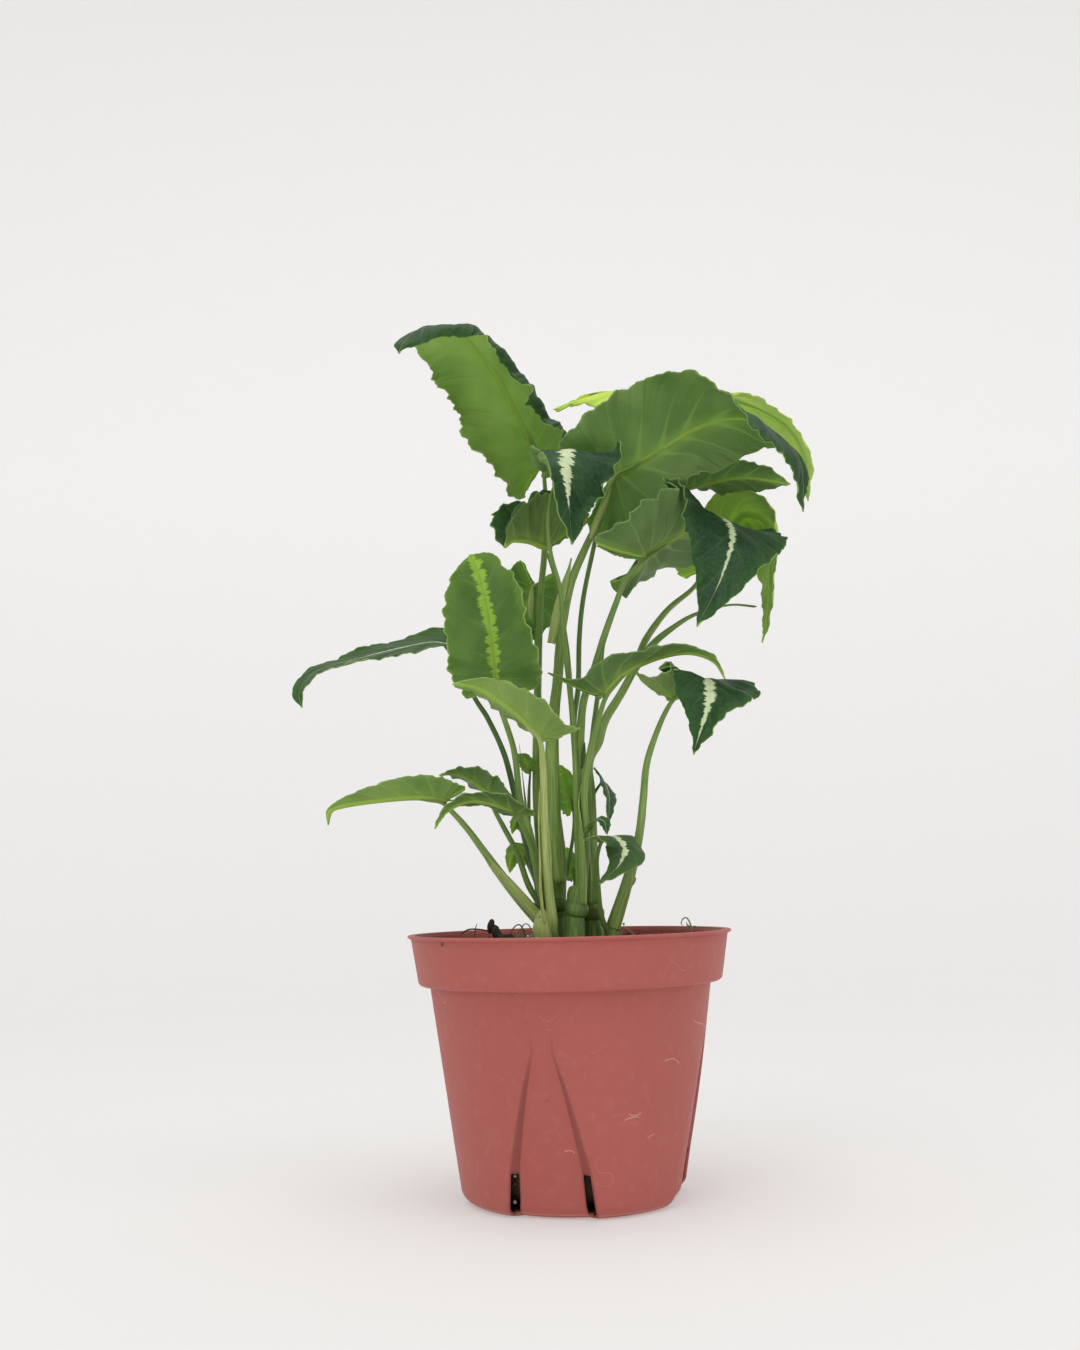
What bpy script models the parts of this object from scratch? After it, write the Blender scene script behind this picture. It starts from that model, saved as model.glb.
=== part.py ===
"""Arrowhead plant in a nursery pot: arrow shaped leaves on long stalks, soil and a plastic pot.

The pot stands upright on z = 0 with its axis on the Z axis. Sizes below are in millimetres.
The scene has no camera or lights: the script only builds the parts.
"""
import math
import random

import bmesh
import bpy
import numpy as np
from mathutils import Matrix

MM = 0.001
GAP = 0.3

# Pot
POT_HEIGHT = 94.1
LIP_RADIUS = 60.0
BAND_TOP_RADIUS = 58.7
BAND_FOOT_RADIUS = 56.2
BAND_HEIGHT = 18.2
WALL_TOP_RADIUS = 51.7
BASE_RADIUS = 41.6
BASE_ROUND = 5.5
WALL = 1.2
BASE_THICK = 1.6
POT_STEPS = 40

# Louvre tongues: tall triangular panels of the wall, pushed in at their feet, with an open slit
# at the foot of each side. A root is how far out from the pot's axis they start in the base.
TONGUE_TURNS = (-12, 78, 168, 258)
TONGUE_HEIGHT = 62.0
TONGUE_PUSH = 3.0
TONGUE_EDGE = [(0.0, 62.0), (4.2, 55.0), (7.6, 43.5), (11.0, 30.0), (14.2, 16.5), (15.9, 0.0),
               (15.9, -1.0)]
TONGUE_ROOT = 26.0
SLIT_TOP = 14.0
SLIT_WIDTH = 2.0
SLIT_ROOT = 36.6

# Soil
SOIL_TOP = 91.0
SOIL_STEPS = 24

# Blades and stalks
BLADE_THICK = 0.7
STALK_POINTS = 12

# Half outline of an arrow shaped blade, from the notch behind the stalk round the lobe to the tip.
# Each knot: part of the half width, part of the lobe length, part of the midrib length,
# and where the vein to that knot leaves the midrib (part of lobe, part of midrib).
OUTLINE = [
    (0.00, -0.12, 0.00, -0.06, 0.00),
    (0.22, -0.56, 0.00, -0.04, 0.00),
    (0.55, -1.00, 0.00, -0.02, 0.00),
    (0.90, -0.58, 0.00, 0.00, 0.00),
    (1.00, 0.00, 0.05, 0.00, 0.02),
    (0.95, 0.00, 0.25, 0.00, 0.08),
    (0.76, 0.00, 0.48, 0.00, 0.25),
    (0.47, 0.00, 0.70, 0.00, 0.48),
    (0.16, 0.00, 0.90, 0.00, 0.78),
    (0.00, 0.00, 1.00, 0.00, 1.00),
]
LOBE_KNOT = 2
FULLER = {5: 0.04, 6: 0.18, 7: 0.32, 8: 0.26}


def leaf(midrib, face, half_width, lobe, **more):
    """One blade. midrib: points from stalk to tip. face: upper side's directions from stalk to tip.

    Pairs are for the blade's left and right halves, seen from above towards the tip.
    cup: how steeply a half rises from the midrib, in degrees. curl: how much more it turns by its
    margin. lobe_out: how far out a lobe's end stands. full: 0 for a slender blade, 1 for a broad one.
    fold: how much more a half rises by the stalk. drop: how far the lobes hang, in millimetres.
    """
    values = dict(midrib=midrib, face=face, half_width=half_width, lobe=lobe, lobe_out=0.6,
                  full=0.3, cup=(10, 10), curl=(-20, -20), fold=(0, 0), drop=0.0,
                  wave=0.07, ripples=5, notch=0.05,
                  along=16, across=3, colour="dark", seed=1)
    values.update(more)
    return values


def small(midrib, face, half_width, seed):
    """A small young blade low on the plant."""
    pair = (half_width, half_width)
    lobes = (half_width * 0.6, half_width * 0.6)
    return leaf(midrib, (face, face), pair, lobes, full=0.3, along=8, across=1, notch=0.12,
                seed=seed)


BLADES = {
    "blade_top_left": leaf(
        [(-6, 17, 281), (-13, 10, 294), (-20, 0, 307), (-28, -12, 316), (-37, -24, 321),
         (-48, -34, 320), (-56, -38, 312), (-58, -39, 307)],
        ((0.0, 0.9, 0.4), (0.2, 0.5, 0.8), (-0.1, 0.2, 1.0), (-0.5, -1.0, 0.2)), (28, 28), (8, 8),
        full=0.6,
        cup=(-4, -8), curl=(-85, -85), along=20, across=4, seed=1),
    "blade_top_right": leaf(
        [(22, -2, 268), (40, -6, 277), (55, -12, 284), (68, -20, 285), (80, -27, 279),
         (90, -32, 264), (90, -35, 243)],
        ((0.8, 0.3, 0.5), (0.8, -0.6, -0.1)), (22, 29), (19, 18), full=0.1,
        cup=(-4, -15), curl=(-20, -26), drop=-5.0, along=20, seed=2),
    "blade_middle_front": leaf(
        [(4, -17, 271), (4, -22, 274), (4, -30, 264), (4, -35, 250), (5, -35, 233)],
        ((0.0, 0.0, 1.0), (0.7, -0.5, -0.5)), (22, 15), (8, 8), full=0.3,
        cup=(-4, -9), curl=(9, -3), along=14, seed=3),
    "blade_left_folded": leaf(
        [(-5, -1, 241), (-11, -7, 242), (-15, -13, 241), (-18, -20, 239), (-20, -27, 235)],
        ((0.4, 0.1, 0.9), (-0.3, 0.3, 0.9)), (26, 20), (12, 12), full=0.3,
        cup=(68, 60), curl=(0, 10), drop=-3.0, seed=4),
    "blade_bright_behind": leaf(
        [(30, 20, 312), (52, 19, 311), (73, 15, 305), (90, 9, 294), (99, 4, 277), (99, 2, 257)],
        ((0.0, -0.38, 0.92), (0.2, 0.1, 1.0), (1.0, 0.2, 0.2)), (20, 20), (28, 31), full=0.9,
        lobe_out=0.4, cup=(-6, -7), curl=(-20, -20), drop=6.0, colour="bright", seed=5),
    "blade_right_small": leaf(
        [(51, 10, 267), (61, 6, 268), (74, 1, 268), (91, -4, 263)],
        ((-0.9, 0.3, 0.1), (-0.1, 0.3, 0.9)), (16, 16), (5, 5), full=0.4,
        along=12, across=2, colour="mid", seed=6),
    "blade_bright_right": leaf(
        [(61, 35, 240), (70, 36, 255), (79, 34, 262), (87, 28, 255), (86, 23, 239), (84, 19, 221),
         (80, 17, 204)],
        ((0.7, 0.6, 0.4), (1.0, 0.1, 0.3)), (15, 15), (8, 8), full=0.7,
        cup=(10, 10), curl=(-58, -58), colour="bright", seed=7),
    "blade_right_front": leaf(
        [(33, -4, 236), (41, 0, 242), (51, 2, 248), (60, -3, 251), (65, -12, 247), (65, -22, 237),
         (61, -28, 225), (56, -31, 214), (49, -33, 202)],
        ((0.3, 0.5, 0.8), (0.2, -0.4, 0.9)), (30, 28), (7, 22), full=0.1,
        cup=(1, -6), curl=(24, 24), drop=-6.0, along=20, seed=8),
    "blade_left_upright": leaf(
        [(-25, -8, 189), (-26, -10, 200), (-28, -12, 217), (-31, -13, 230), (-34, -12, 237)],
        ((0.0, -0.8, 0.6), (-0.3, -0.6, 0.7)), (22, 22), (6, 6), full=0.9,
        cup=(20, 20), curl=(38, 38), wave=0.03, colour="mid", seed=9),
    "blade_left_long": leaf(
        [(-34, 4, 200), (-47, -1, 205), (-61, -8, 202), (-80, -16, 196), (-91, -21, 192),
         (-97, -25, 184), (-96, -26, 177)],
        ((-0.3, -0.6, 0.7), (-0.4, -0.4, 0.8)), (12, 14), (8, 8), full=0.6,
        cup=(4, 2), curl=(-3, -12), drop=0.0, seed=10),
    "blade_left_pale": leaf(
        [(-8, -22, 165), (-18, -26, 174), (-30, -30, 182), (-40, -33, 184)],
        ((0.0, 0.1, 1.0), (-0.1, 0.6, 0.8)), (13, 13), (8, 8), full=0.0,
        cup=(21, 21), curl=(-3, -3), drop=-7.0, along=12, across=2, colour="mid", seed=11),
    "blade_right_spread": leaf(
        [(15, -14, 181), (23, -15, 189), (35, -17, 194), (47, -21, 195), (56, -24, 191),
         (60, -25, 184)],
        ((-0.2, 0.05, 0.95), (0.2, 0.3, 0.9)), (7, 12), (5, 8), lobe_out=0.7, full=0.0,
        cup=(45, 10), curl=(-20, -20), fold=(0, 45), drop=-14.0, seed=12),
    "blade_right_dark": leaf(
        [(41, -10, 180), (46, -10, 182), (51, -14, 186), (54, -21, 184), (53, -27, 176),
         (50, -30, 167), (46, -31, 156)],
        ((0.1, 0.5, 0.8), (0.1, -0.2, 1.0)), (24, 18), (6, 10), full=0.0,
        cup=(4, 6), curl=(-18, -8), fold=(50, -10), drop=-10.0, along=14, seed=13),
    "blade_low_left": leaf(
        [(-45, -20, 143), (-54, -22, 144), (-67, -26, 143), (-79, -30, 141), (-84, -32, 139),
         (-85, -33, 134)],
        ((0.2, 0.6, 0.8), (-0.3, 0.6, 0.7)), (9.5, 10), (8, 8), full=0.0,
        cup=(25, 45), curl=(-10, -10), across=2, colour="mid", seed=14),
    "blade_low_back": leaf(
        [(-28, -2, 146), (-34, -4, 151), (-41, -7, 154), (-47, -11, 153)],
        ((0.0, 0.1, 1.0), (-0.2, 0.2, 1.0)), (11, 14), (7, 8), full=0.0,
        cup=(6, 6), curl=(15, 15), along=12, across=2, seed=15),
    "blade_low_front": leaf(
        [(-17, -19, 137), (-25, -23, 141), (-35, -27, 142), (-43, -31, 138), (-47, -33, 132)],
        ((0.0, 0.1, 1.0), (-0.4, 0.3, 0.8)), (9, 9), (4, 4), full=0.5,
        cup=(13, 13), curl=(-15, -13), along=12, across=2, seed=16),
    "blade_low_right": leaf(
        [(13, -13, 128), (18, -18, 128), (21, -22, 123), (18, -24, 117), (11, -24, 111)],
        ((0.2, -0.2, 1.0), (0.3, -0.3, 0.9)), (10, 9), (5, 5), full=0.4,
        cup=(12, 12), curl=(-27, -27), along=10, across=2, seed=17),
    "blade_hidden_left": leaf(
        [(-11, 20, 230), (-14, 20, 221), (-19, 18, 210), (-22, 16, 199)],
        ((-0.3, 0.9, 0.2), (-0.3, 0.9, 0.2)), (13, 13), (9, 9), along=12, across=2, seed=18),
    "leaflet_left_high": small([(-13, 6, 156), (-16, 3, 160), (-19, -1, 161)], (0.0, 0.4, 0.9), 4, 19),
    "leaflet_left_low": small([(-16, 8, 134), (-19, 7, 136), (-21, 6, 131)], (-0.2, 0.9, 0.4), 3, 20),
    "leaflet_left_curled": small([(-16, 9, 122), (-19, 9, 125), (-21, 8, 122), (-22, 7, 116)],
                                 (0.0, 0.9, 0.4), 4, 21),
    "leaflet_between": small([(3, 14, 142), (1, 15, 148), (-1, 16, 154), (-4, 16, 159)],
                             (0.2, 0.9, 0.3), 6, 22),
    "leaflet_right_hanging": small([(15, 13, 151), (16, 9, 149), (17, 6, 143), (16, 4, 134)],
                                   (0.9, -0.3, 0.5), 7, 23),
    "leaflet_behind": small([(3, 15, 116), (1, 16, 121), (0, 17, 126)], (0.0, 0.9, 0.4), 5, 24),
    "leaflet_right_curl": small([(9, -11, 133), (11, -13, 135), (14, -15, 134), (15, -16, 129)],
                                (0.1, -0.4, 1.0), 4, 25),
}

# Stalks by shoot. Each: route of points from the foot up, radius at foot and top, blade or None.
SHOOTS = {
    "shoot_left": dict(
        stump=[(-8, -4, 80), (-8, -4, 92), (-8, -4, 101)], stump_radius=(5.0, 3.6),
        stalks=[
            ([(-9, -2, 96), (-9, 2, 104), (-14, 3, 121), (-19, 3, 144), (-23, 3, 161), (-29, 3, 175),
              (-35, 3, 186)], (1.4, 1.0), "blade_left_long"),
            ([(-8, -4, 94), (-8, -4, 104), (-11, -6, 117), (-14, -7, 132), (-17, -8, 143),
              (-19, -9, 162), (-24, -9, 179)], (1.5, 1.1), "blade_left_upright"),
            ([(-7, -7, 92), (-6, -12, 98), (-7, -13, 108), (-8, -15, 121), (-8, -18, 139),
              (-8, -20, 155)], (1.9, 1.4), "blade_left_pale"),
            ([(-9, -5, 92), (-11, -8, 98), (-21, -10, 111), (-29, -13, 122), (-36, -16, 132),
              (-42, -18, 139)], (1.9, 1.1), "blade_low_left"),
            ([(-9, -2, 94), (-11, 0, 104), (-15, 0, 112), (-19, -1, 124), (-24, -2, 134),
              (-27, -3, 140)], (1.3, 1.0), "blade_low_back"),
            ([(-8, -5, 94), (-8, -8, 102), (-10, -9, 108), (-11, -10, 114), (-13, -12, 125)],
             (1.5, 1.1), "blade_low_front"),
            ([(-9, -2, 96), (-12, 2, 112), (-14, 3, 128), (-14, 5, 145)], (0.9, 0.7),
             "leaflet_left_high"),
            ([(-13, 2, 118), (-15, 0, 140), (-17, -3, 165)], (0.9, 0.15), None),
            ([(-14, 2, 119), (-15, 5, 127)], (0.7, 0.5), "leaflet_left_low"),
            ([(-10, 0, 104), (-12, 4, 112)], (0.9, 0.6), "leaflet_left_curled"),
        ]),
    "shoot_middle": dict(
        stump=[(-5, 7, 80), (-5, 7, 96), (-5, 6, 108)], stump_radius=(4.6, 3.6),
        stalks=[
            ([(-6, 7, 96), (-9, 8, 113), (-11, 8, 144), (-10, 9, 183), (-8, 13, 223), (-6, 16, 243),
              (-5, 18, 265)], (1.9, 1.3), "blade_top_left"),
            ([(-4, 6, 98), (-3, 3, 121), (-5, 1, 143), (-5, 0, 166), (-2, 0, 189), (0, -1, 208),
              (4, -2, 226), (10, -2, 240), (16, -2, 252)], (2.6, 1.6), "blade_top_right"),
            ([(-6, 8, 100), (-8, 12, 130), (-10, 14, 175), (-10, 15, 208)], (1.2, 0.9),
             "blade_hidden_left"),
            ([(-4, 8, 102), (1, 12, 122), (3, 14, 134)], (0.9, 0.7), "leaflet_between"),
            ([(-4, 9, 98), (2, 14, 108)], (0.9, 0.7), "leaflet_behind"),
        ]),
    "shoot_front": dict(
        stump=[(2, -4, 80), (2, -4, 96), (4, -4, 112)], stump_radius=(4.4, 3.4),
        stalks=[
            ([(4, -4, 108), (4, -5, 135), (4, -4, 159), (3, -5, 180), (1, -6, 203), (0, -9, 222),
              (-3, -13, 234), (-4, -16, 244), (-3, -18, 255), (1, -17, 266)], (1.3, 0.9),
             "blade_middle_front"),
            ([(4, -3, 108), (5, 0, 135), (4, 2, 159), (3, 3, 182), (2, 4, 201), (0, 5, 217),
              (-2, 2, 230)], (1.3, 1.0), "blade_left_folded"),
            ([(4, -4, 104), (5, -2, 125), (5, -2, 143), (7, -3, 176), (11, -3, 189), (16, -4, 204),
              (21, -4, 217), (26, -4, 228)], (1.9, 1.3), "blade_right_front"),
            ([(5, -5, 106), (7, -6, 125), (7, -6, 146), (10, -9, 162), (13, -12, 172)], (1.7, 1.2),
             "blade_right_spread"),
            ([(6, -6, 122), (7, -9, 129)], (0.8, 0.6), "leaflet_right_curl"),
        ]),
    "shoot_back": dict(
        stump=[(9, 7, 80), (9, 7, 94), (9, 7, 104)], stump_radius=(4.6, 3.6),
        stalks=[
            ([(8, 7, 98), (7, 8, 130), (4, 9, 170), (6, 9, 187), (7, 10, 207), (9, 12, 223),
              (13, 14, 241), (19, 16, 264), (28, 18, 284)], (1.2, 0.9), "blade_bright_behind"),
            ([(9, 8, 98), (10, 12, 130), (10, 14, 159), (14, 16, 187), (17, 18, 208), (22, 19, 222),
              (27, 20, 233), (37, 18, 248), (46, 14, 260)], (1.2, 0.8), "blade_right_small"),
            ([(9, 6, 98), (9, 6, 136), (9, 6, 157), (13, 6, 165), (16, 7, 174), (23, 8, 185),
              (29, 9, 196), (33, 14, 206), (43, 24, 220), (55, 32, 231)], (2.2, 1.3),
             "blade_bright_right"),
            ([(27, 9, 192), (35, 9, 203), (44, 8, 210), (53, 8, 215), (66, 7, 218), (77, 7, 217)],
             (1.5, 0.5), None),
            ([(9, 9, 110), (10, 12, 130), (10, 13, 143)], (0.9, 0.7), "leaflet_right_hanging"),
        ]),
    "shoot_right": dict(
        stump=[(16, 0, 80), (16, 0, 90), (17, 0, 98)], stump_radius=(3.4, 2.6),
        stalks=[
            ([(16, 0, 93), (19, -1, 103), (23, -3, 113), (27, -5, 129), (29, -7, 143), (30, -8, 152),
              (32, -8, 160), (37, -9, 172)], (1.9, 1.2), "blade_right_dark"),
            ([(15, -1, 92), (12, -6, 100), (11, -9, 113), (11, -12, 121)], (1.1, 0.8),
             "blade_low_right"),
        ]),
}

COLOURS = {
    "dark": ((0.035, 0.09, 0.04), 0.5),
    "mid": ((0.10, 0.24, 0.05), 0.5),
    "bright": ((0.28, 0.48, 0.08), 0.5),
    "stalk": ((0.20, 0.36, 0.08), 0.45),
    "pot": ((0.43, 0.11, 0.09), 0.6),
    "soil": ((0.03, 0.018, 0.012), 0.95),
}


def clear_scene():
    """Remove what is in the scene, with nothing else closed or reset."""
    for old in list(bpy.data.objects):
        bpy.data.objects.remove(old, do_unlink=True)


def material(name):
    """A plain Principled material of one of the named colours."""
    if name in bpy.data.materials:
        return bpy.data.materials[name]
    colour, roughness = COLOURS[name]
    made = bpy.data.materials.new(name)
    made.use_nodes = True
    shader = made.node_tree.nodes["Principled BSDF"]
    shader.inputs["Base Color"].default_value = (*colour, 1.0)
    shader.inputs["Roughness"].default_value = roughness
    shader.inputs["Metallic"].default_value = 0.0
    return made


def new_object(name, mesh, collection, finish=None):
    """Link a mesh as an object, with its material."""
    made = bpy.data.objects.new(name, mesh)
    collection.objects.link(made)
    if finish:
        mesh.materials.clear()
        mesh.materials.append(material(finish))
    return made


def hide_guide(guide):
    """Mark an object as a cutter or guide that is no part of the plant."""
    guide.hide_render = True
    guide.display_type = "WIRE"


def baked(source, name, collection, finish=None):
    """A new object with the source's modifiers applied; the source is removed."""
    graph = bpy.context.evaluated_depsgraph_get()
    mesh = bpy.data.meshes.new_from_object(source.evaluated_get(graph), depsgraph=graph)
    mesh.name = name
    matrix = source.matrix_world.copy()
    bpy.data.objects.remove(source, do_unlink=True)
    made = new_object(name, mesh, collection, finish)
    made.matrix_world = matrix
    return made


def weld(mesh, distance=0.00001):
    """Close a mesh's seams and turn its faces outwards."""
    bm = bmesh.new()
    bm.from_mesh(mesh)
    bmesh.ops.remove_doubles(bm, verts=bm.verts, dist=distance)
    bmesh.ops.recalc_face_normals(bm, faces=bm.faces)
    bm.to_mesh(mesh)
    bm.free()


def boolean(target, operation, operand, solver="EXACT"):
    """Apply one Boolean between the target and an object or a collection, which is used up."""
    modifier = target.modifiers.new("boolean", "BOOLEAN")
    modifier.operation = operation
    modifier.solver = solver
    if isinstance(operand, bpy.types.Collection):
        modifier.operand_type = "COLLECTION"
        modifier.collection = operand
        used = list(operand.objects)
    else:
        modifier.object = operand
        used = [operand]
    graph = bpy.context.evaluated_depsgraph_get()
    graph.update()
    mesh = bpy.data.meshes.new_from_object(target.evaluated_get(graph), depsgraph=graph)
    target.modifiers.clear()
    target.data = mesh
    for old in used:
        bpy.data.objects.remove(old, do_unlink=True)


def keep_body(mesh):
    """Keep the largest connected skin, which fills sealed hollows and drops loose scraps."""
    bm = bmesh.new()
    bm.from_mesh(mesh)
    left = set(bm.faces)
    skins = []
    while left:
        skin = set()
        waiting = [left.pop()]
        while waiting:
            face = waiting.pop()
            skin.add(face)
            near = {other for edge in face.edges for other in edge.link_faces} & left
            left -= near
            waiting.extend(near)
        skins.append(skin)
    largest = max(skins, key=lambda skin: sum(face.calc_area() for face in skin))
    spare = [face for skin in skins if skin is not largest for face in skin]
    if spare:
        bmesh.ops.delete(bm, geom=spare, context="FACES")
        bm.to_mesh(mesh)
    bm.free()


def turned(name, profile, steps, collection, finish=None):
    """A solid turned about Z. The profile is in the XZ plane and runs down its outer side."""
    bm = bmesh.new()
    corners = [bm.verts.new((x * MM, 0.0, z * MM)) for x, z in profile]
    for first, second in zip(corners, corners[1:]):
        bm.edges.new((first, second))
    if profile[0][0] > 0:
        bm.edges.new((corners[-1], corners[0]))
    mesh = bpy.data.meshes.new(name)
    bm.to_mesh(mesh)
    bm.free()
    source = new_object(name, mesh, collection)
    screw = source.modifiers.new("turn", "SCREW")
    screw.steps = steps
    screw.render_steps = steps
    screw.use_merge_vertices = True
    screw.merge_threshold = 0.00001
    made = baked(source, name, collection, finish)
    weld(made.data)
    return made


def wall_radius(z, inset=0.0):
    """Outer radius of the pot's wall at a height, less an inset."""
    top = POT_HEIGHT - BAND_HEIGHT
    part = (z - BASE_ROUND) / (top - BASE_ROUND)
    return BASE_RADIUS + (WALL_TOP_RADIUS - BASE_RADIUS) * part - inset


def tongue_push(z):
    """How far a louvre tongue stands in from the wall at a height."""
    return TONGUE_PUSH * max(0.0, (TONGUE_HEIGHT - z) / (TONGUE_HEIGHT - BASE_ROUND))


def corner(radius, foot, steps, inset=0.0):
    """The pot's rounded lower edge, from the wall down to the flat base."""
    centre_x = radius - BASE_ROUND
    points = []
    for step in range(steps + 1):
        turn = math.radians(90.0 * step / steps)
        reach = BASE_ROUND - inset
        points.append((centre_x + reach * math.cos(turn), BASE_ROUND - reach * math.sin(turn) + foot))
    return points


def pot_profile():
    """Closed line round the pot's wall, from the lip down the outside and up the inside."""
    band_foot = POT_HEIGHT - BAND_HEIGHT
    outside = [
        (BAND_TOP_RADIUS - 1.1, POT_HEIGHT),
        (LIP_RADIUS - 0.3, POT_HEIGHT),
        (LIP_RADIUS, POT_HEIGHT - 0.4),
        (LIP_RADIUS - 0.2, POT_HEIGHT - 0.9),
        (BAND_TOP_RADIUS, POT_HEIGHT - 1.9),
        (BAND_FOOT_RADIUS, band_foot + 1.6),
        (BAND_FOOT_RADIUS - 0.6, band_foot + 0.4),
        (BAND_FOOT_RADIUS - 1.7, band_foot),
        (WALL_TOP_RADIUS, band_foot),
    ]
    outside += corner(BASE_RADIUS, 0.0, 4)
    inside = [(0.0, 0.0), (0.0, BASE_THICK)]
    inner = corner(BASE_RADIUS, 0.0, 3, WALL)
    inner[-1] = (inner[-1][0], BASE_THICK)
    inside += list(reversed(inner))
    inside += [
        (WALL_TOP_RADIUS - WALL, band_foot + 1.2),
        (BAND_FOOT_RADIUS - WALL, band_foot + 1.4),
        (BAND_TOP_RADIUS - 1.1, POT_HEIGHT - 1.6),
    ]
    return outside + inside


def tongue_profile():
    """Closed line round the pushed in wall that the tongues are cut from, with some of its base."""
    top = TONGUE_HEIGHT + 4.0
    foot = BASE_RADIUS - TONGUE_PUSH
    rim = TONGUE_ROOT - 1.0
    lift = 0.2
    outside = [(wall_radius(top), top), (wall_radius(TONGUE_HEIGHT), TONGUE_HEIGHT)]
    outside += corner(foot, lift, 4)
    outside.append((rim, lift))
    inside = [(rim, BASE_THICK - lift)]
    inner = corner(foot, lift, 3, WALL)
    inner[-1] = (inner[-1][0], BASE_THICK - lift)
    inside += list(reversed(inner))
    inside.append((wall_radius(TONGUE_HEIGHT, WALL), TONGUE_HEIGHT))
    inside.append((wall_radius(top, WALL), top))
    return outside + inside


def prisms(name, outlines, near, far, collection):
    """Flat outlines (across, up) made bars from near to far out, once for each tongue."""
    bm = bmesh.new()
    for turn in TONGUE_TURNS:
        ring = []
        for outline in outlines:
            face = bm.faces.new([bm.verts.new((x * MM, -near * MM, z * MM)) for x, z in outline])
            pushed = bmesh.ops.extrude_face_region(bm, geom=[face])["geom"]
            moved = [item for item in pushed if isinstance(item, bmesh.types.BMVert)]
            bmesh.ops.translate(bm, verts=moved, vec=(0.0, (near - far) * MM, 0.0))
            ring += list(face.verts) + moved
        bmesh.ops.rotate(bm, verts=ring, cent=(0, 0, 0), matrix=Matrix.Rotation(math.radians(turn), 3, "Z"))
    bmesh.ops.recalc_face_normals(bm, faces=bm.faces)
    bmesh.ops.triangulate(bm, faces=bm.faces)
    mesh = bpy.data.meshes.new(name)
    bm.to_mesh(mesh)
    bm.free()
    made = new_object(name, mesh, collection)
    hide_guide(made)
    return made


def tongue_outline(extra):
    """The tongue's triangle, made a little wider by extra."""
    right = [(x + extra, z) for x, z in TONGUE_EDGE]
    left = [(-x, z) for x, z in reversed(right)]
    return left + right if extra else left + right[1:]


def slit_outline(side):
    """The open slit at the foot of one side of a tongue."""
    (high_x, high_z), (low_x, low_z) = TONGUE_EDGE[-3:-1]
    top_x = low_x + (high_x - low_x) * (SLIT_TOP - low_z) / (high_z - low_z)
    outer = [(top_x, SLIT_TOP)] + TONGUE_EDGE[-2:]
    inner = [(x - SLIT_WIDTH, z) for x, z in reversed(outer)]
    return [(x * side, z) for x, z in outer + inner]


def make_pot(parts, cutters):
    """The nursery pot: a turned shell whose four louvre tongues are pushed in."""
    pot = turned("pot", pot_profile(), POT_STEPS, parts, "pot")
    tongues = turned("tongues", tongue_profile(), POT_STEPS, cutters, "pot")
    windows = prisms("windows", [tongue_outline(0.0)], TONGUE_ROOT + 4.0, LIP_RADIUS, cutters)
    panels = prisms("panels", [tongue_outline(0.25)], TONGUE_ROOT, LIP_RADIUS, cutters)
    slits = prisms("slits", [slit_outline(-1), slit_outline(1)], SLIT_ROOT, LIP_RADIUS, cutters)
    boolean(pot, "DIFFERENCE", windows, "MANIFOLD")
    boolean(tongues, "INTERSECT", panels, "MANIFOLD")
    boolean(pot, "UNION", tongues, "MANIFOLD")
    boolean(pot, "DIFFERENCE", slits, "MANIFOLD")
    pot.data.shade_smooth()
    pot.data.set_sharp_from_angle(angle=math.radians(35))


def soil_profile():
    """Line down the soil's outer side: domed top, clear of the wall and of the tongues."""
    band_foot = POT_HEIGHT - BAND_HEIGHT
    foot = BASE_THICK + GAP
    side = [
        (0.0, SOIL_TOP),
        (24.0, SOIL_TOP),
        (46.0, SOIL_TOP - 0.7),
        (BAND_FOOT_RADIUS - WALL - GAP, SOIL_TOP - 1.4),
        (BAND_FOOT_RADIUS - WALL - GAP, band_foot + 2.4),
        (WALL_TOP_RADIUS - WALL - GAP, band_foot + 1.8),
        (wall_radius(TONGUE_HEIGHT, WALL + GAP), TONGUE_HEIGHT),
    ]
    low = BASE_ROUND + 1.0
    side.append((wall_radius(low, WALL + GAP + tongue_push(low)), low))
    side.append((BASE_RADIUS - BASE_ROUND - TONGUE_PUSH - WALL - 1.0, foot))
    side.append((0.0, foot))
    return side


def make_soil(parts, cutters):
    """The potting mix, with one plain hole for each shoot's stem."""
    soil = turned("soil", soil_profile(), SOIL_STEPS, parts, "soil")
    for name, shoot in SHOOTS.items():
        x, y, foot = shoot["stump"][0]
        radius = (shoot["stump_radius"][0] + 2 * GAP) * MM
        deep = (SOIL_TOP + 4.0 - foot + 2 * GAP) * MM
        bpy.ops.mesh.primitive_cylinder_add(vertices=12, radius=radius, depth=deep)
        hole = bpy.context.active_object
        hole.name = "hole_" + name
        hole.data.transform(Matrix.Translation((x * MM, y * MM, (foot - 2 * GAP) * MM + deep / 2)))
        hide_guide(hole)
        boolean(soil, "DIFFERENCE", hole, "MANIFOLD")


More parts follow.
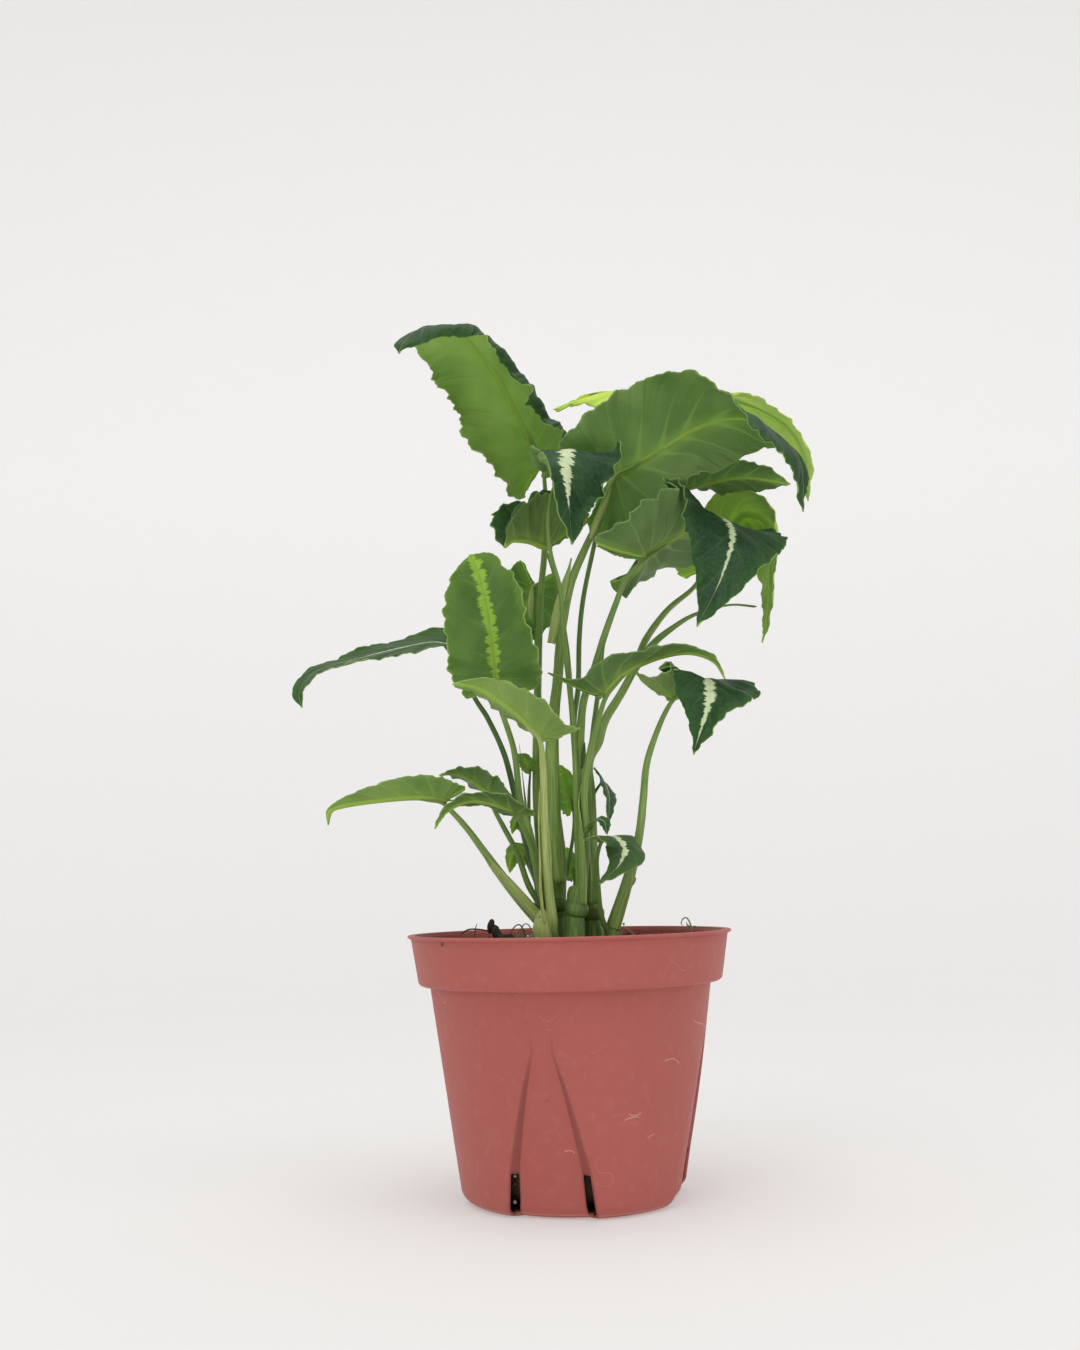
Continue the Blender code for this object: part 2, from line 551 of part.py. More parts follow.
def smooth_path(points, count):
    """Evenly spaced points along a smooth curve through the given points."""
    spots = np.array(points, dtype=float)
    before = 2 * spots[0] - spots[1]
    after = 2 * spots[-1] - spots[-2]
    spots = np.vstack([before, spots, after])
    t = np.linspace(0.0, 1.0, 13)[:-1, None]
    parts = []
    for p0, p1, p2, p3 in zip(spots, spots[1:], spots[2:], spots[3:]):
        parts.append(0.5 * (2 * p1 + (p2 - p0) * t + (2 * p0 - 5 * p1 + 4 * p2 - p3) * t ** 2
                            + (3 * p1 - p0 - 3 * p2 + p3) * t ** 3))
    parts.append(spots[-2:-1])
    fine = np.vstack(parts)
    run = np.concatenate([[0.0], np.cumsum(np.linalg.norm(np.diff(fine, axis=0), axis=1))])
    even = np.linspace(0.0, run[-1], count)
    return np.stack([np.interp(even, run, fine[:, axis]) for axis in range(3)], axis=1)


def unit(vectors):
    """Vectors brought to length one."""
    return vectors / np.linalg.norm(vectors, axis=-1, keepdims=True)


def knots(values, u):
    """A smooth curve through evenly spaced values, read at u from 0 to 1."""
    values = np.array(values, dtype=float)
    ends = np.concatenate([[2 * values[0] - values[1]], values, [2 * values[-1] - values[-2]]])
    place = np.clip(u, 0.0, 1.0) * (len(values) - 1)
    cell = np.minimum(place.astype(int), len(values) - 2)
    t = place - cell
    p0, p1, p2, p3 = ends[cell], ends[cell + 1], ends[cell + 2], ends[cell + 3]
    return 0.5 * (2 * p1 + (p2 - p0) * t + (2 * p0 - 5 * p1 + 4 * p2 - p3) * t ** 2
                  + (3 * p1 - p0 - 3 * p2 + p3) * t ** 3)


def blade_spine(blade, count=80):
    """The midrib's points, directions and upper sides, and its length."""
    spine = smooth_path(blade["midrib"], count)
    forward = unit(np.gradient(spine, axis=0))
    face = np.array(blade["face"], dtype=float)
    part = np.linspace(0.0, len(face) - 1.0, count)
    hint = np.stack([np.interp(part, range(len(face)), face[:, axis]) for axis in range(3)], axis=1)
    up = unit(hint - forward * np.sum(hint * forward, axis=1, keepdims=True))
    length = float(np.sum(np.linalg.norm(np.diff(spine, axis=0), axis=1)))
    return spine, forward, up, length


def blade_points(blade, u, v):
    """Places on a blade. u runs round the edge from the notch to the tip; v runs across,
    from -1 at the left edge over 0 at the midrib to 1 at the right edge."""
    spine, forward, up, length = blade_spine(blade)
    right = v > 0
    reach = np.abs(v)
    pick = lambda name: np.where(right, blade[name][1], blade[name][0])
    across = [knot[0] for knot in OUTLINE]
    across[LOBE_KNOT] = blade["lobe_out"]
    across[LOBE_KNOT - 1] = 0.4 * blade["lobe_out"]
    across[LOBE_KNOT + 1] = 0.55 + 0.5 * blade["lobe_out"]
    for knot, more in FULLER.items():
        across[knot] += more * blade["full"]
    edge_x = knots(across, u) * pick("half_width")
    edge_y = knots([k[1] for k in OUTLINE], u) * pick("lobe") + knots([k[2] for k in OUTLINE], u) * length
    rib_y = knots([k[3] for k in OUTLINE], u) * pick("lobe") + knots([k[4] for k in OUTLINE], u) * length
    draw = random.Random(blade["seed"])
    phases = np.array([[draw.uniform(0.0, 2 * math.pi) for _ in range(4)] for _ in range(2)])
    phase = phases[right.astype(int)]
    turns = 2 * math.pi * blade["ripples"] * u
    calm = np.sqrt(np.clip(np.sin(math.pi * u), 0.0, 1.0))
    notch = 0.6 * np.sin(2.6 * turns + phase[:, 2]) + 0.4 * np.sin(4.3 * turns + phase[:, 3])
    reach_out = reach * (1.0 + blade["notch"] * calm * notch * reach ** 4)
    flat_x = reach_out * edge_x
    flat_y = rib_y + reach_out * (edge_y - rib_y)
    ripple = 0.6 * np.sin(turns + phase[:, 0]) + 0.4 * np.sin(2.1 * turns + phase[:, 1])
    lift = blade["wave"] * pick("half_width") * calm * ripple * reach ** 2
    run = np.linspace(0.0, length, len(spine))
    at = np.clip(flat_y, 0.0, length)
    read = lambda table: np.stack([np.interp(at, run, table[:, axis]) for axis in range(3)], axis=1)
    behind = np.clip(-flat_y, 0.0, None)
    ahead, above = unit(read(forward)), unit(read(up))
    beside = np.cross(ahead, above)
    by_stalk = np.clip(1.0 - flat_y / (0.4 * length), 0.0, 1.3)
    cup = np.radians(pick("cup") + pick("fold") * by_stalk)
    curl = np.radians(pick("curl"))
    curl = np.where(np.abs(curl) < 0.001, 0.001, curl)
    width = pick("half_width")
    angle = cup + curl * flat_x / width
    out = width / curl * (np.sin(angle) - np.sin(cup))
    rise = width / curl * (np.cos(cup) - np.cos(angle)) + lift
    rise = rise - blade["drop"] * (behind / pick("lobe")) ** 2
    side = np.where(right, 1.0, -1.0)
    place = read(spine) - ahead * behind[:, None]
    return place + beside * (side * out)[:, None] + above * rise[:, None]


def make_blade(name, blade, parts):
    """One leaf blade: a waved sheet of triangles, alike on both faces."""
    bm = bmesh.new()
    bmesh.ops.create_grid(bm, x_segments=blade["along"], y_segments=2 * blade["across"], size=1.0)
    grid = np.array([vert.co[:2] for vert in bm.verts])
    for vert, place in zip(bm.verts, blade_points(blade, (grid[:, 0] + 1.0) / 2.0, grid[:, 1])):
        vert.co = place * MM
    bmesh.ops.remove_doubles(bm, verts=bm.verts, dist=0.00005)
    bmesh.ops.triangulate(bm, faces=bm.faces)
    mesh = bpy.data.meshes.new(name)
    bm.to_mesh(mesh)
    bm.free()
    made = new_object(name, mesh, parts, blade["colour"])
    sheet = made.modifiers.new("thickness", "SOLIDIFY")
    sheet.thickness = BLADE_THICK * MM
    sheet.offset = 0.0
    mesh.shade_smooth()


def stalk_end(blade, radius):
    """Where a stalk stops, just clear of the blade's under side."""
    _, _, up, _ = blade_spine(blade)
    return np.array(blade["midrib"][0]) - up[0] * (BLADE_THICK / 2 + GAP + radius)


def make_stalk(name, points, radii, count, sides, group):
    """A tapering tube through the points, as a closed mesh."""
    curve = bpy.data.curves.new(name, "CURVE")
    curve.dimensions = "3D"
    curve.bevel_depth = MM
    curve.bevel_resolution = sides // 2 - 2
    curve.use_fill_caps = True
    path = smooth_path(points, count)
    spline = curve.splines.new("POLY")
    spline.points.add(count - 1)
    for index, (point, place) in enumerate(zip(spline.points, path)):
        point.co = (*(place * MM), 1.0)
        part = index / (count - 1)
        point.radius = radii[0] + (radii[1] - radii[0]) * part
    source = bpy.data.objects.new(name, curve)
    group.objects.link(source)
    bpy.context.view_layer.update()
    made = baked(source, name, group)
    weld(made.data)
    return made


def make_shoot(name, shoot, parts):
    """One shoot: its short stem in the soil and its stalks, fused."""
    group = bpy.data.collections.new(name + "_pieces")
    bpy.context.scene.collection.children.link(group)
    for number, (route, radii, blade) in enumerate(shoot["stalks"]):
        route = list(route)
        if blade:
            route.append(stalk_end(BLADES[blade], radii[1]))
        make_stalk(f"stalk_{number}", route, radii, STALK_POINTS, 6, group)
    stem = make_stalk(name, shoot["stump"], shoot["stump_radius"], 5, 10, parts)
    boolean(stem, "UNION", group, "MANIFOLD")
    keep_body(stem.data)
    stem.data.materials.clear()
    stem.data.materials.append(material("stalk"))
    bpy.data.collections.remove(group)


def build():
    """Build every part of the plant and its pot."""
    clear_scene()
    parts = bpy.data.collections.new("arrowhead_plant")
    cutters = bpy.data.collections.new("cutters")
    bpy.context.scene.collection.children.link(parts)
    bpy.context.scene.collection.children.link(cutters)
    make_pot(parts, cutters)
    make_soil(parts, cutters)
    for name, shoot in SHOOTS.items():
        make_shoot(name, shoot, parts)
    for name, blade in BLADES.items():
        make_blade(name, blade, parts)


build()
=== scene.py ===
"""The looks of a potted arrowhead plant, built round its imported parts.

Leaves, stalks, pot and soil are modelled again in finer detail, in millimetres, on the same routes
and outlines as the solid parts, and take their place. The camera stands where the photographer's did.
"""

import math
import random

import bmesh
import bpy
import numpy as np
from mathutils import Matrix, Vector, noise
from mathutils.bvhtree import BVHTree


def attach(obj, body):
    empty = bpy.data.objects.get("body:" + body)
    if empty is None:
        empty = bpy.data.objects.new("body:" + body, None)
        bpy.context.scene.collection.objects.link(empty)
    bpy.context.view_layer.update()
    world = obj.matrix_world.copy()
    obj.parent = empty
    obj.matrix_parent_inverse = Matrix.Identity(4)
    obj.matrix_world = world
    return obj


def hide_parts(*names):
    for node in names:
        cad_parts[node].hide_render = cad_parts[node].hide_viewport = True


MM = 0.001
GAP = 0.3

# Pot
POT_HEIGHT = 94.1
BAND_TOP_RADIUS = 58.7
BAND_FOOT_RADIUS = 56.2
BAND_HEIGHT = 18.2
WALL_TOP_RADIUS = 51.7
BASE_RADIUS = 41.6
BASE_ROUND = 5.5
WALL = 1.2
BASE_THICK = 1.6

# Louvre tongues: tall triangular panels of the wall, pushed in at their feet, with an open slit
# at the foot of each side.
TONGUE_TURNS = (-12, 78, 168, 258)
TONGUE_HEIGHT = 62.0
TONGUE_PUSH = 3.0
TONGUE_EDGE = [(0.0, 62.0), (4.2, 55.0), (7.6, 43.5), (11.0, 30.0), (14.2, 16.5), (15.9, 0.0),
               (15.9, -1.0)]
SLIT_TOP = 14.0

# Soil
SOIL_TOP = 91.0



# Half outline of an arrow shaped blade, from the notch behind the stalk round the lobe to the tip.
# Each knot: part of the half width, part of the lobe length, part of the midrib length,
# and where the vein to that knot leaves the midrib (part of lobe, part of midrib).
OUTLINE = [
    (0.00, -0.12, 0.00, -0.06, 0.00),
    (0.22, -0.56, 0.00, -0.04, 0.00),
    (0.55, -1.00, 0.00, -0.02, 0.00),
    (0.90, -0.58, 0.00, 0.00, 0.00),
    (1.00, 0.00, 0.05, 0.00, 0.02),
    (0.95, 0.00, 0.25, 0.00, 0.08),
    (0.76, 0.00, 0.48, 0.00, 0.25),
    (0.47, 0.00, 0.70, 0.00, 0.48),
    (0.16, 0.00, 0.90, 0.00, 0.78),
    (0.00, 0.00, 1.00, 0.00, 1.00),
]
LOBE_KNOT = 2
FULLER = {5: 0.04, 6: 0.18, 7: 0.32, 8: 0.26}


def leaf(midrib, face, half_width, lobe, **more):
    """One blade. midrib: points from stalk to tip. face: upper side's directions from stalk to tip.

    Pairs are for the blade's left and right halves, seen from above towards the tip.
    cup: how steeply a half rises from the midrib, in degrees. curl: how much more it turns by its
    margin. lobe_out: how far out a lobe's end stands. full: 0 for a slender blade, 1 for a broad one.
    fold: how much more a half rises by the stalk. drop: how far the lobes hang, in millimetres.
    """
    values = dict(midrib=midrib, face=face, half_width=half_width, lobe=lobe, lobe_out=0.6,
                  full=0.3, cup=(10, 10), curl=(-20, -20), fold=(0, 0), drop=0.0,
                  wave=0.07, ripples=5, notch=0.05,
                  along=16, across=3, colour="dark", seed=1)
    values.update(more)
    return values


def small(midrib, face, half_width, seed):
    """A small young blade low on the plant."""
    pair = (half_width, half_width)
    lobes = (half_width * 0.6, half_width * 0.6)
    return leaf(midrib, (face, face), pair, lobes, full=0.3, along=8, across=1, notch=0.12,
                seed=seed)


BLADES = {
    "blade_top_left": leaf(
        [(-6, 17, 281), (-13, 10, 294), (-20, 0, 307), (-28, -12, 316), (-37, -24, 321),
         (-48, -34, 320), (-56, -38, 312), (-58, -39, 307)],
        ((0.0, 0.9, 0.4), (0.2, 0.5, 0.8), (-0.1, 0.2, 1.0), (-0.5, -1.0, 0.2)), (28, 28), (8, 8),
        full=0.6,
        cup=(-4, -8), curl=(-85, -85), along=20, across=4, seed=1),
    "blade_top_right": leaf(
        [(22, -2, 268), (40, -6, 277), (55, -12, 284), (68, -20, 285), (80, -27, 279),
         (90, -32, 264), (90, -35, 243)],
        ((0.8, 0.3, 0.5), (0.8, -0.6, -0.1)), (22, 29), (19, 18), full=0.1,
        cup=(-4, -15), curl=(-20, -26), drop=-5.0, along=20, seed=2),
    "blade_middle_front": leaf(
        [(4, -17, 271), (4, -22, 274), (4, -30, 264), (4, -35, 250), (5, -35, 233)],
        ((0.0, 0.0, 1.0), (0.7, -0.5, -0.5)), (22, 15), (8, 8), full=0.3,
        cup=(-4, -9), curl=(9, -3), along=14, seed=3),
    "blade_left_folded": leaf(
        [(-5, -1, 241), (-11, -7, 242), (-15, -13, 241), (-18, -20, 239), (-20, -27, 235)],
        ((0.4, 0.1, 0.9), (-0.3, 0.3, 0.9)), (26, 20), (12, 12), full=0.3,
        cup=(68, 60), curl=(0, 10), drop=-3.0, seed=4),
    "blade_bright_behind": leaf(
        [(30, 20, 312), (52, 19, 311), (73, 15, 305), (90, 9, 294), (99, 4, 277), (99, 2, 257)],
        ((0.0, -0.38, 0.92), (0.2, 0.1, 1.0), (1.0, 0.2, 0.2)), (20, 20), (28, 31), full=0.9,
        lobe_out=0.4, cup=(-6, -7), curl=(-20, -20), drop=6.0, colour="bright", seed=5),
    "blade_right_small": leaf(
        [(51, 10, 267), (61, 6, 268), (74, 1, 268), (91, -4, 263)],
        ((-0.9, 0.3, 0.1), (-0.1, 0.3, 0.9)), (16, 16), (5, 5), full=0.4,
        along=12, across=2, colour="mid", seed=6),
    "blade_bright_right": leaf(
        [(61, 35, 240), (70, 36, 255), (79, 34, 262), (87, 28, 255), (86, 23, 239), (84, 19, 221),
         (80, 17, 204)],
        ((0.7, 0.6, 0.4), (1.0, 0.1, 0.3)), (15, 15), (8, 8), full=0.7,
        cup=(10, 10), curl=(-58, -58), colour="bright", seed=7),
    "blade_right_front": leaf(
        [(33, -4, 236), (41, 0, 242), (51, 2, 248), (60, -3, 251), (65, -12, 247), (65, -22, 237),
         (61, -28, 225), (56, -31, 214), (49, -33, 202)],
        ((0.3, 0.5, 0.8), (0.2, -0.4, 0.9)), (30, 28), (7, 22), full=0.1,
        cup=(1, -6), curl=(24, 24), drop=-6.0, along=20, seed=8),
    "blade_left_upright": leaf(
        [(-25, -8, 189), (-26, -10, 200), (-28, -12, 217), (-31, -13, 230), (-34, -12, 237)],
        ((0.0, -0.8, 0.6), (-0.3, -0.6, 0.7)), (22, 22), (6, 6), full=0.9,
        cup=(20, 20), curl=(38, 38), wave=0.03, colour="mid", seed=9),
    "blade_left_long": leaf(
        [(-34, 4, 200), (-47, -1, 205), (-61, -8, 202), (-80, -16, 196), (-91, -21, 192),
         (-97, -25, 184), (-96, -26, 177)],
        ((-0.3, -0.6, 0.7), (-0.4, -0.4, 0.8)), (12, 14), (8, 8), full=0.6,
        cup=(4, 2), curl=(-3, -12), drop=0.0, seed=10),
    "blade_left_pale": leaf(
        [(-8, -22, 165), (-18, -26, 174), (-30, -30, 182), (-40, -33, 184)],
        ((0.0, 0.1, 1.0), (-0.1, 0.6, 0.8)), (13, 13), (8, 8), full=0.0,
        cup=(21, 21), curl=(-3, -3), drop=-7.0, along=12, across=2, colour="mid", seed=11),
    "blade_right_spread": leaf(
        [(15, -14, 181), (23, -15, 189), (35, -17, 194), (47, -21, 195), (56, -24, 191),
         (60, -25, 184)],
        ((-0.2, 0.05, 0.95), (0.2, 0.3, 0.9)), (7, 12), (5, 8), lobe_out=0.7, full=0.0,
        cup=(45, 10), curl=(-20, -20), fold=(0, 45), drop=-14.0, seed=12),
    "blade_right_dark": leaf(
        [(41, -10, 180), (46, -10, 182), (51, -14, 186), (54, -21, 184), (53, -27, 176),
         (50, -30, 167), (46, -31, 156)],
        ((0.1, 0.5, 0.8), (0.1, -0.2, 1.0)), (24, 18), (6, 10), full=0.0,
        cup=(4, 6), curl=(-18, -8), fold=(50, -10), drop=-10.0, along=14, seed=13),
    "blade_low_left": leaf(
        [(-45, -20, 143), (-54, -22, 144), (-67, -26, 143), (-79, -30, 141), (-84, -32, 139),
         (-85, -33, 134)],
        ((0.2, 0.6, 0.8), (-0.3, 0.6, 0.7)), (9.5, 10), (8, 8), full=0.0,
        cup=(25, 45), curl=(-10, -10), across=2, colour="mid", seed=14),
    "blade_low_back": leaf(
        [(-28, -2, 146), (-34, -4, 151), (-41, -7, 154), (-47, -11, 153)],
        ((0.0, 0.1, 1.0), (-0.2, 0.2, 1.0)), (11, 14), (7, 8), full=0.0,
        cup=(6, 6), curl=(15, 15), along=12, across=2, seed=15),
    "blade_low_front": leaf(
        [(-17, -19, 137), (-25, -23, 141), (-35, -27, 142), (-43, -31, 138), (-47, -33, 132)],
        ((0.0, 0.1, 1.0), (-0.4, 0.3, 0.8)), (9, 9), (4, 4), full=0.5,
        cup=(13, 13), curl=(-15, -13), along=12, across=2, seed=16),
    "blade_low_right": leaf(
        [(13, -13, 128), (18, -18, 128), (21, -22, 123), (18, -24, 117), (11, -24, 111)],
        ((0.2, -0.2, 1.0), (0.3, -0.3, 0.9)), (10, 9), (5, 5), full=0.4,
        cup=(12, 12), curl=(-27, -27), along=10, across=2, seed=17),
    "blade_hidden_left": leaf(
        [(-11, 20, 230), (-14, 20, 221), (-19, 18, 210), (-22, 16, 199)],
        ((-0.3, 0.9, 0.2), (-0.3, 0.9, 0.2)), (13, 13), (9, 9), along=12, across=2, seed=18),
    "leaflet_left_high": small([(-13, 6, 156), (-16, 3, 160), (-19, -1, 161)], (0.0, 0.4, 0.9), 4, 19),
    "leaflet_left_low": small([(-16, 8, 134), (-19, 7, 136), (-21, 6, 131)], (-0.2, 0.9, 0.4), 3, 20),
    "leaflet_left_curled": small([(-16, 9, 122), (-19, 9, 125), (-21, 8, 122), (-22, 7, 116)],
                                 (0.0, 0.9, 0.4), 4, 21),
    "leaflet_between": small([(3, 14, 142), (1, 15, 148), (-1, 16, 154), (-4, 16, 159)],
                             (0.2, 0.9, 0.3), 6, 22),
    "leaflet_right_hanging": small([(15, 13, 151), (16, 9, 149), (17, 6, 143), (16, 4, 134)],
                                   (0.9, -0.3, 0.5), 7, 23),
    "leaflet_behind": small([(3, 15, 116), (1, 16, 121), (0, 17, 126)], (0.0, 0.9, 0.4), 5, 24),
    "leaflet_right_curl": small([(9, -11, 133), (11, -13, 135), (14, -15, 134), (15, -16, 129)],
                                (0.1, -0.4, 1.0), 4, 25),
}

# Stalks by shoot. Each: route of points from the foot up, radius at foot and top, blade or None.
SHOOTS = {
    "shoot_left": dict(
        stump=[(-8, -4, 80), (-8, -4, 92), (-8, -4, 101)], stump_radius=(5.0, 3.6),
        stalks=[
            ([(-9, -2, 96), (-9, 2, 104), (-14, 3, 121), (-19, 3, 144), (-23, 3, 161), (-29, 3, 175),
              (-35, 3, 186)], (1.4, 1.0), "blade_left_long"),
            ([(-8, -4, 94), (-8, -4, 104), (-11, -6, 117), (-14, -7, 132), (-17, -8, 143),
              (-19, -9, 162), (-24, -9, 179)], (1.5, 1.1), "blade_left_upright"),
            ([(-7, -7, 92), (-6, -12, 98), (-7, -13, 108), (-8, -15, 121), (-8, -18, 139),
              (-8, -20, 155)], (1.9, 1.4), "blade_left_pale"),
            ([(-9, -5, 92), (-11, -8, 98), (-21, -10, 111), (-29, -13, 122), (-36, -16, 132),
              (-42, -18, 139)], (1.9, 1.1), "blade_low_left"),
            ([(-9, -2, 94), (-11, 0, 104), (-15, 0, 112), (-19, -1, 124), (-24, -2, 134),
              (-27, -3, 140)], (1.3, 1.0), "blade_low_back"),
            ([(-8, -5, 94), (-8, -8, 102), (-10, -9, 108), (-11, -10, 114), (-13, -12, 125)],
             (1.5, 1.1), "blade_low_front"),
            ([(-9, -2, 96), (-12, 2, 112), (-14, 3, 128), (-14, 5, 145)], (0.9, 0.7),
             "leaflet_left_high"),
            ([(-13, 2, 118), (-15, 0, 140), (-17, -3, 165)], (0.9, 0.15), None),
            ([(-14, 2, 119), (-15, 5, 127)], (0.7, 0.5), "leaflet_left_low"),
            ([(-10, 0, 104), (-12, 4, 112)], (0.9, 0.6), "leaflet_left_curled"),
        ]),
    "shoot_middle": dict(
        stump=[(-5, 7, 80), (-5, 7, 96), (-5, 6, 108)], stump_radius=(4.6, 3.6),
        stalks=[
            ([(-6, 7, 96), (-9, 8, 113), (-11, 8, 144), (-10, 9, 183), (-8, 13, 223), (-6, 16, 243),
              (-5, 18, 265)], (1.9, 1.3), "blade_top_left"),
            ([(-4, 6, 98), (-3, 3, 121), (-5, 1, 143), (-5, 0, 166), (-2, 0, 189), (0, -1, 208),
              (4, -2, 226), (10, -2, 240), (16, -2, 252)], (2.6, 1.6), "blade_top_right"),
            ([(-6, 8, 100), (-8, 12, 130), (-10, 14, 175), (-10, 15, 208)], (1.2, 0.9),
             "blade_hidden_left"),
            ([(-4, 8, 102), (1, 12, 122), (3, 14, 134)], (0.9, 0.7), "leaflet_between"),
            ([(-4, 9, 98), (2, 14, 108)], (0.9, 0.7), "leaflet_behind"),
        ]),
    "shoot_front": dict(
        stump=[(2, -4, 80), (2, -4, 96), (4, -4, 112)], stump_radius=(4.4, 3.4),
        stalks=[
            ([(4, -4, 108), (4, -5, 135), (4, -4, 159), (3, -5, 180), (1, -6, 203), (0, -9, 222),
              (-3, -13, 234), (-4, -16, 244), (-3, -18, 255), (1, -17, 266)], (1.3, 0.9),
             "blade_middle_front"),
            ([(4, -3, 108), (5, 0, 135), (4, 2, 159), (3, 3, 182), (2, 4, 201), (0, 5, 217),
              (-2, 2, 230)], (1.3, 1.0), "blade_left_folded"),
            ([(4, -4, 104), (5, -2, 125), (5, -2, 143), (7, -3, 176), (11, -3, 189), (16, -4, 204),
              (21, -4, 217), (26, -4, 228)], (1.9, 1.3), "blade_right_front"),
            ([(5, -5, 106), (7, -6, 125), (7, -6, 146), (10, -9, 162), (13, -12, 172)], (1.7, 1.2),
             "blade_right_spread"),
            ([(6, -6, 122), (7, -9, 129)], (0.8, 0.6), "leaflet_right_curl"),
        ]),
    "shoot_back": dict(
        stump=[(9, 7, 80), (9, 7, 94), (9, 7, 104)], stump_radius=(4.6, 3.6),
        stalks=[
            ([(8, 7, 98), (7, 8, 130), (4, 9, 170), (6, 9, 187), (7, 10, 207), (9, 12, 223),
              (13, 14, 241), (19, 16, 264), (28, 18, 284)], (1.2, 0.9), "blade_bright_behind"),
            ([(9, 8, 98), (10, 12, 130), (10, 14, 159), (14, 16, 187), (17, 18, 208), (22, 19, 222),
              (27, 20, 233), (37, 18, 248), (46, 14, 260)], (1.2, 0.8), "blade_right_small"),
            ([(9, 6, 98), (9, 6, 136), (9, 6, 157), (13, 6, 165), (16, 7, 174), (23, 8, 185),
              (29, 9, 196), (33, 14, 206), (43, 24, 220), (55, 32, 231)], (2.2, 1.3),
             "blade_bright_right"),
            ([(27, 9, 192), (35, 9, 203), (44, 8, 210), (53, 8, 215), (66, 7, 218), (77, 7, 217)],
             (1.5, 0.5), None),
            ([(9, 9, 110), (10, 12, 130), (10, 13, 143)], (0.9, 0.7), "leaflet_right_hanging"),
        ]),
    "shoot_right": dict(
        stump=[(16, 0, 80), (16, 0, 90), (17, 0, 98)], stump_radius=(3.4, 2.6),
        stalks=[
            ([(16, 0, 93), (19, -1, 103), (23, -3, 113), (27, -5, 129), (29, -7, 143), (30, -8, 152),
              (32, -8, 160), (37, -9, 172)], (1.9, 1.2), "blade_right_dark"),
            ([(15, -1, 92), (12, -6, 100), (11, -9, 113), (11, -12, 121)], (1.1, 0.8),
             "blade_low_right"),
        ]),
}

def look(stripe, young, under, spacing, roll=(0, 0), rest=0.0, ends=0.75):
    """How a blade looks. stripe: half width of its pale stripe. young: 0 old and dark, 1 bright.
    under: how light its under side is. spacing: between side veins at the margin. roll: how far
    each half's margin turns over, in degrees, in waves, with rest for the part that all of it turns.
    ends: where along the midrib the stripe ends.
    """
    return dict(stripe=stripe, young=young, under=under, spacing=spacing, roll=roll, rest=rest, ends=ends)


LOOKS = {
    "blade_top_left": look(1.6, 0.05, 0.55, 15.0, (-150, -20)),
    "blade_top_right": look(1.6, 0.0, 0.32, 15.0, (-20, 25)),
    "blade_middle_front": look(3.6, 0.0, 0.30, 11.0, (150, 170), 0.5),
    "blade_left_folded": look(1.4, 0.05, 0.35, 12.0, (-190, 0), 0.6),
    "blade_bright_behind": look(1.2, 1.0, 1.0, 11.0),
    "blade_right_small": look(1.0, 0.35, 0.15, 9.0),
    "blade_bright_right": look(1.2, 1.0, 0.4, 9.0, (30, 20)),
    "blade_right_front": look(1.9, 0.0, 0.22, 13.0, (10, 20), ends=0.86),
    "blade_left_upright": look(2.9, 0.42, 0.5, 12.0, (30, 30), ends=1.3),
    "blade_left_long": look(0.7, 0.12, 0.30, 11.0, (20, 60)),
    "blade_left_pale": look(1.4, 0.5, 0.5, 10.0, (20, 20)),
    "blade_right_spread": look(1.5, 0.1, 0.2, 10.0, (40, 60)),
    "blade_right_dark": look(2.2, 0.0, 0.4, 11.0, (20, 20), ends=0.95),
    "blade_low_left": look(1.2, 0.3, 0.42, 9.0, (40, 40)),
    "blade_low_back": look(1.0, 0.05, 0.25, 8.0),
    "blade_low_front": look(1.2, 0.15, 0.1, 8.0),
    "blade_low_right": look(1.9, 0.12, 0.5, 7.0),
    "blade_hidden_left": look(1.2, 0.05, 0.2, 8.0),
}
LEAFLET = look(0.4, 0.05, 0.2, 6.0)
SLOTS = {"dark": "dark_leaf", "mid": "green_leaf", "bright": "bright_leaf"}

# Small things on the shoots. Each: route from the foot up, radii along it, tone and brownness
EXTRAS = {
    "shoot_left": [
        ([(-10, -9, 88), (-10, -10, 93), (-9.5, -11, 98), (-8.5, -12, 103)],
         (2.7, 3.6, 3.3, 1.9), 1.0, 0.3),
        ([(-11, -5, 103), (-14, -5.5, 105), (-17, -6, 106), (-19.6, -6, 108.5)],
         (0.8, 0.6, 0.5, 0.3), 0.2, 0.9),
        ([(-12, 6, 214), (-11.5, 7, 222), (-10.6, 8, 229)], (0.5, 1.0, 0.2), 0.9, 0.0),
    ],
    "shoot_middle": [
        ([(12, -3, 243), (15, -4.2, 250), (18.5, -5, 257), (21, -5.2, 263.5)],
         (0.6, 1.3, 1.0, 0.15), 1.0, 0.0),
        ([(-5.2, 5, 101), (-5, 5, 104), (-4.8, 4.6, 107)], (3.9, 4.6, 3.8), 0.2, 0.45),
    ],
    "shoot_front": [
        ([(6.4, -4.4, 154), (7.2, -4.6, 159), (7.8, -4.4, 164.5)], (0.4, 0.8, 0.2), 0.1, 0.35),
        ([(2.6, -4.4, 99), (3, -4.4, 102), (3.4, -4.4, 105)], (3.7, 4.3, 3.6), 0.3, 0.4),
    ],
    "shoot_back": [
        ([(9, 7, 97), (9, 7, 100), (9, 7, 103)], (3.8, 4.4, 3.8), 0.2, 0.45),
    ],
    "shoot_right": [
        ([(22.4, -2.8, 110.6), (23.2, -3.1, 112.6), (24, -3.3, 114.6)], (1.7, 2.2, 1.7), 0.5, 0.3),
    ],
}

